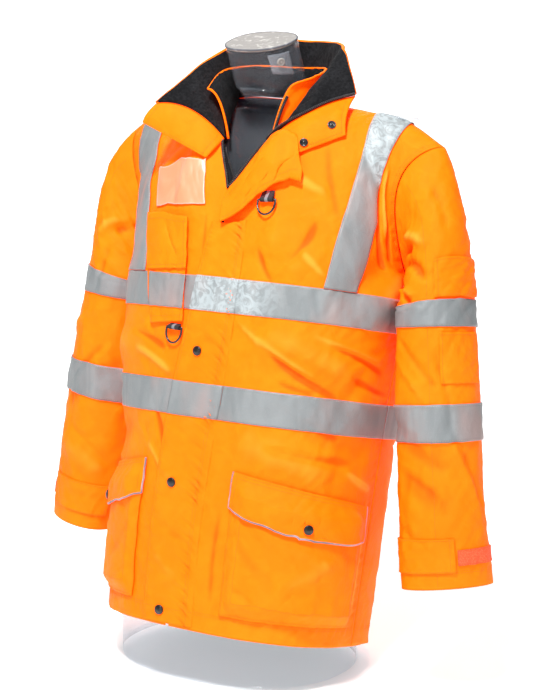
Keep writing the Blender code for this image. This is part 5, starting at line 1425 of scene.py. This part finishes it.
middle = collar.points - collar.normals * SHELL / 2
TURNED = 0.0024
tab, tab_out = turned_down(middle[:, -1], middle[:, -7], line((0.104, -0.143, 0.708), (0.155, -0.108, 0.742), 41),
                           0.0032, 0.004, 0.022)
facing, facing_out = turned_down(middle[:, 0], middle[:, 6],
                                 line((-0.050, -0.158, 0.687), (-0.149, -0.192, 0.728), 41), 0.0014, 0.006, 0.006)
for name, node, grid, n, seed in (("collar_tab_cloth", "collar_tab", tab, tab_out, 111),
                                  ("collar_facing", "collar_facing_right", facing, facing_out, 113)):
    s, t = np.meshgrid(along(0, 1, grid.shape[1]), along(0, 1, grid.shape[0]))
    bumps = ripples(s * 0.09, t * 0.06, seed, 0.028, 0.0006) * np.sin(math.pi * t)
    grid = grid + n * bumps[..., None]
    piece = Piece()
    piece.wall(grid + n * TURNED / 2, grid - n * TURNED / 2, ORANGE, ORANGE)
    for pick in (np.s_[-4, 2:-2], np.s_[2:-3, 3], np.s_[2:-3, -4]):
        piece.stitches((grid + n * (TURNED / 2 + 0.0001))[pick], n[pick])
    if node == "collar_tab":
        for i, j in ((29, 10), (24, 31)):
            piece.knob((grid + n * TURNED / 2)[i, j], n[i, j],
                       ((0.0062, 0.0), (0.0063, 0.0010), (0.0056, 0.0018), (0.0046, 0.0018), (0.0036, 0.0009),
                        (0.0032, 0.0003), (0.0014, 0.0003), (0.0012, 0.0011), (0.0004, 0.0012)), SNAP_BLACK, sides=26)
    piece.make(name, "orange_cloth", node, held="folded", rests_on=["outer_collar"])


def zip_side(name, node, side, rows, near, far, out, teeth_out, tooth, beyond=(), coil=0.0):
    """One half of a zip: its tape along a front's open edge, by distances into the opening, and a piece with
    the teeth on the tape's far edge. beyond holds a further path for teeth, and its ways out."""
    cloth = front[side]
    p = cloth.at(0.0, rows)
    n = cloth.at(0.0, rows, 1.0) - p
    into = unit(p - cloth.at(0.02, rows))
    share = along(0, 1, 7)[None, :, None]
    grid = p[:, None] + into[:, None] * (near + (far - near)[:, None, None] * share)
    teeth = Piece()
    if coil:
        line_up = p + into * 0.0012 + n * coil
        teeth.cord(line_up, n, 0.0022, ZIP_CLOTH)
        teeth.blocks(line_up + n * 0.0020, n, (0.0050, 0.0017, 0.0022), 0.0029, ZIP_TOOTH)
    else:
        teeth.blocks(grid[:, -1] + n * teeth_out, n, tooth, 0.0026, ZIP_TOOTH)
    if len(beyond):
        path, off = beyond
        teeth.cord(path, off, 0.0022, ZIP_CLOTH)
        teeth.blocks(path + off * 0.0024, off, (0.0042, 0.0017, 0.0020), 0.0028, ZIP_TOOTH)
    teeth.make(f"{name}_teeth", "zip")
    piece = Piece()
    piece.wall(grid + n[:, None] * out, grid + n[:, None] * (out - 0.0015), ZIP_CLOTH)
    piece.make(name, "zip", node, held="stretched", rests_on=[f"{name.split('_')[0]}_front"],
               carries=[f"{name}_teeth"])


def opening(rows):
    return np.clip((rows - V_BOTTOM) / 0.03, 0, 1)


rises = along(0.02, 0.985, 50)
path = collar.at(0.996, rises, -0.0022)
ahead = unit(path - collar.at(0.960, rises, -0.0022))
facing_up = collar.at(0.996, rises) - collar.at(0.996, rises, 1.0)
collar_zip = (path + ahead * 0.0018 + facing_up * 0.0036, facing_up)
rises = along(0.01, 0.62, 40)
inner_zip = (inner.at(0.962, rises, 0.0026), inner.at(0.962, rises, 1.0) - inner.at(0.962, rises))
for side, word in SIDES:
    rows = along(V_BOTTOM + 0.001, 0.7940, 80)
    zip_side(f"{word}_zip", f"zip_outer_{word}", side, rows, 0.0007, 0.0026 + 0.0065 * opening(rows), -0.0002,
             0.0004, (0.0034, 0.0016, 0.0020), collar_zip if side > 0 else (), 0.0050 if side > 0 else 0.0012)
    rows = along(0.720, 0.7940, 70)
    zip_side(f"{word}_inner_zip", f"zip_inner_{word}", side, rows, 0.0010, 0.0030 + 0.0110 * opening(rows),
             -SHELL - 0.0008, -SHELL - 0.0004, (0.0030, 0.0015, 0.0016), inner_zip if side > 0 else ())

# half width, place along the zip
SLIDER = ((0.0018, -0.0065), (0.0022, -0.0030), (0.0026, 0.0010), (0.0026, 0.0065))
middle = (front[1].at(0.0, 0.688) + front[-1].at(0.0, 0.688)) / 2
up = unit((front[1].at(0.0, 0.698) - front[1].at(0.0, 0.688)) * np.array([0.0, 1.0, 1.0]))
n = np.cross([1.0, 0.0, 0.0], up)
half, reach = np.array(SLIDER).T
turn = along(0, 2 * math.pi, 17)[:-1]
rings = (middle + up * reach[:, None, None] + np.array([1.0, 0.0, 0.0]) * (half[:, None] * np.cos(turn))[..., None]
         + n * (0.0008 + 0.0024 * np.sin(turn) * np.ones((4, 1)))[..., None])
piece = Piece()
piece.tube(rings, ZIP_TOOTH)
piece.make("slider", "zip", "zip_slider")

c, r = np.meshgrid(along(-0.36, 0.36, 70), along(0.600, TOP, 60))
piece = Piece()
piece.wall(back.at(c, r, -SHELL - 0.0004), back.at(c, r, -SHELL - 0.0016), NAVY)
piece.make("back_neck_lining", "navy_lining", "back_lining", held="stretched", rests_on=["back_panel"])


# ---------------------------------------------------------------------------------------------
# The form
# ---------------------------------------------------------------------------------------------
FORM_WALL = 0.003
ROUND = np.arange(96) / 96 * 2 * math.pi
BARELY_SEEN = -0.75            # mark of the clearest plastic
FROSTED = 0.7


def form_rings(heights, inset, turns=ROUND):
    """Rings of the form: superellipses with their own front and back depths, tilted about their middles."""
    v, half, fore, rear, tilt = smooth(FORM, heights).T[:, :, None]
    depth = np.where(np.cos(turns) > 0, fore, rear) - inset
    c, s = np.abs(np.cos(turns)) / depth, np.abs(np.sin(turns)) / (half - inset)
    r = (c**2.3 + s**2.3) ** (-1 / 2.3)
    local = -r * np.cos(turns)
    angle = np.radians(tilt)
    level = np.where(heights == FORM[-1, 0], heights - inset, heights)[:, None]
    return vec(r * np.sin(turns), v + local * np.cos(angle), level + local * np.sin(angle))


heights = np.unique(np.concatenate([along(FORM[0, 0], 0.70, 36), along(0.70, FORM[-1, 0], 48)]))
outer = form_rings(heights, 0.0)
piece = Piece()
piece.wall(outer, form_rings(heights, FORM_WALL), CLEAR, closed=True,
           mark=BARELY_SEEN * ease((0.3 - heights) / 0.1)[:, None])
rim = outer[-1]
centre = rim.mean(axis=0)
shares = np.array([1.0, 0.985, 0.95, 0.7, 0.4, 0.1])     # rings of the lid, by share of its radius
sunk = np.array([0.0006, 0.0016, 0.0012, 0.0008, 0.0006, 0.0006])
tilted = unit(np.cross(rim[len(ROUND) // 4] - centre, rim[0] - centre))
tilted = tilted if tilted[2] > 0 else -tilted
lid = centre + (rim - centre) * shares[:, None, None] + tilted * sunk[:, None, None]
index = np.arange(len(lid) * len(ROUND)).reshape(len(lid), len(ROUND))
under = index + index.size
grid = round_again(index)
quads = squares(grid)
sides = np.stack([grid[0, 1:], grid[0, :-1], grid[0, :-1] + index.size, grid[0, 1:] + index.size], axis=-1)
piece.add(np.concatenate([lid.reshape(-1, 3), (lid - tilted * 0.0030).reshape(-1, 3)]),
          [(quads, CAP_WHITE), (index[-1:], CAP_WHITE), (quads[:, ::-1] + index.size, CAP_WHITE),
           (under[-1:, ::-1], CAP_WHITE), (sides, CAP_WHITE)])
piece.cord(rim + tilted * 0.0006, tilted, 0.0014, RIM_GREY, closed=True)
turns = np.radians(along(40, 77, 20))
patch_rings = form_rings(along(0.828, 0.860, 14), 0.0, turns)
patch_out = unit(np.cross(np.gradient(patch_rings, axis=1), np.gradient(patch_rings, axis=0)))
patch_out = patch_out * np.sign(np.sum(patch_out * (patch_rings - centre), axis=-1, keepdims=True))
piece.wall(patch_rings + patch_out * 0.0014, patch_rings + patch_out * 0.0002, CLEAR, mark=FROSTED)
piece.knob((patch_rings + patch_out * 0.0014)[8, 9], patch_out[8, 9],
           ((0.0062, 0.0), (0.0062, 0.0022), (0.0054, 0.0032), (0.0036, 0.0032), (0.0030, 0.0020),
            (0.0022, 0.0020), (0.0016, 0.0030), (0.0004, 0.0031)), CAP_WHITE, sides=28)
piece.make("torso_form", "clear_plastic", "form_shell")

piece = Piece()
# share of the foot's half width and half depth, height
profile = ((0.10, 0.0), (0.985, 0.0), (1.0, 0.0008), (1.0, 0.0048), (0.996, 0.0057), (0.988, 0.006), (0.10, 0.006))
scene_rings = np.array([vec(0.200 * s * np.sin(ROUND), -0.168 * s * np.cos(ROUND), z) for s, z in profile])
rings = vec(scene_rings[..., 0], *unleaned(scene_rings[..., 1] - HEM_Y, scene_rings[..., 2] - HEM_Z))
piece.tube(rings, CLEAR, BARELY_SEEN)
piece.make("form_base", "clear_plastic", "form_foot")

# ---------------------------------------------------------------------------------------------
# Floor, light and camera
# ---------------------------------------------------------------------------------------------
VIEW_TURN = math.radians(34.65)
VIEW_AWAY = 2.8492
VIEW_HIGH = 0.9664
FOCAL = 1928.0                 # this and the shifts are in pixels, of a frame FRAME_TALL high
SHIFT = (25.95, 6.2)
FRAME_TALL = 690.0
across, sweep = np.meshgrid(along(-4, 4, 9), along(0, 1, 40))
turn = np.clip((sweep - 0.6) / 0.2, 0, 1) * math.pi / 2
run = np.minimum(sweep, 0.6) / 0.6 * 6.8 - 3.4 + 1.2 * np.sin(turn)
rise = 1.2 * (1 - np.cos(turn)) + np.maximum(sweep - 0.8, 0) * 12
ground = vec(across, run, rise - 0.0002)
ground = vec(ground[..., 0] * math.cos(VIEW_TURN) - ground[..., 1] * math.sin(VIEW_TURN),
             ground[..., 0] * math.sin(VIEW_TURN) + ground[..., 1] * math.cos(VIEW_TURN), ground[..., 2])
quads = squares(np.arange(across.size).reshape(across.shape))
mesh = bpy.data.meshes.new("studio_floor")
mesh.from_pydata(ground.reshape(-1, 3).tolist(), [], quads.tolist())
mesh.shade_smooth()
floor = Finish("studio_white", Base_Color=(0.92, 0.92, 0.92, 1.0), Emission_Strength=0.50)
behind = Value(floor, floor.node("ShaderNodeVectorMath", {"operation": "DOT_PRODUCT"}, {
    0: floor.place, 1: (-math.sin(VIEW_TURN), math.cos(VIEW_TURN), 0.0)}).outputs["Value"])
floor.set(Roughness=0.5 + floor.noise(3.0) * 0.2,
          Emission_Color=floor.blend(behind.between(1.6, 4.4), (1.0, 1.0, 1.0), (1.5, 1.5, 1.5)))
mesh.materials.append(floor.material)
studio = bpy.data.objects.new("studio_floor", mesh)
bpy.context.scene.collection.objects.link(studio)

sky = bpy.data.worlds.new("studio_air")
sky.use_nodes = True
sky.node_tree.nodes["Background"].inputs["Color"].default_value = (1.0, 1.0, 1.0, 1.0)
sky.node_tree.nodes["Background"].inputs["Strength"].default_value = 0.27
bpy.context.scene.world = sky


def area_light(name, place, target, size, power):
    lamp = bpy.data.lights.new(name, "AREA")
    lamp.shape = "DISK"
    lamp.size = size
    lamp.energy = power
    item = bpy.data.objects.new(name, lamp)
    item.location = place
    item.rotation_euler = (Vector(target) - Vector(place)).to_track_quat("-Z", "Y").to_euler()
    bpy.context.scene.collection.objects.link(item)


area_light("key", (0.45, -1.30, 2.8), (0.0, 0.0, 0.60), 0.5, 88.0)
area_light("front_fill", (0.6, -3.0, 1.2), (0.0, 0.0, 0.5), 1.6, 14.0)
area_light("rim", (-1.6, 1.8, 2.6), (0.0, 0.0, 0.6), 1.4, 25.0)

lens = bpy.data.cameras.new("camera")
lens.sensor_width = 36.0
lens.lens = FOCAL * lens.sensor_width / FRAME_TALL
lens.shift_x, lens.shift_y = (shift / FRAME_TALL for shift in SHIFT)
camera = bpy.data.objects.new("camera", lens)
camera.location = (VIEW_AWAY * math.sin(VIEW_TURN), -VIEW_AWAY * math.cos(VIEW_TURN), VIEW_HIGH)
camera.rotation_euler = (Vector((0.0, 0.0, 0.47)) - camera.location).to_track_quat("-Z", "Y").to_euler()
bpy.context.scene.collection.objects.link(camera)
bpy.context.scene.camera = camera
bpy.context.scene.view_settings.view_transform = "Standard"
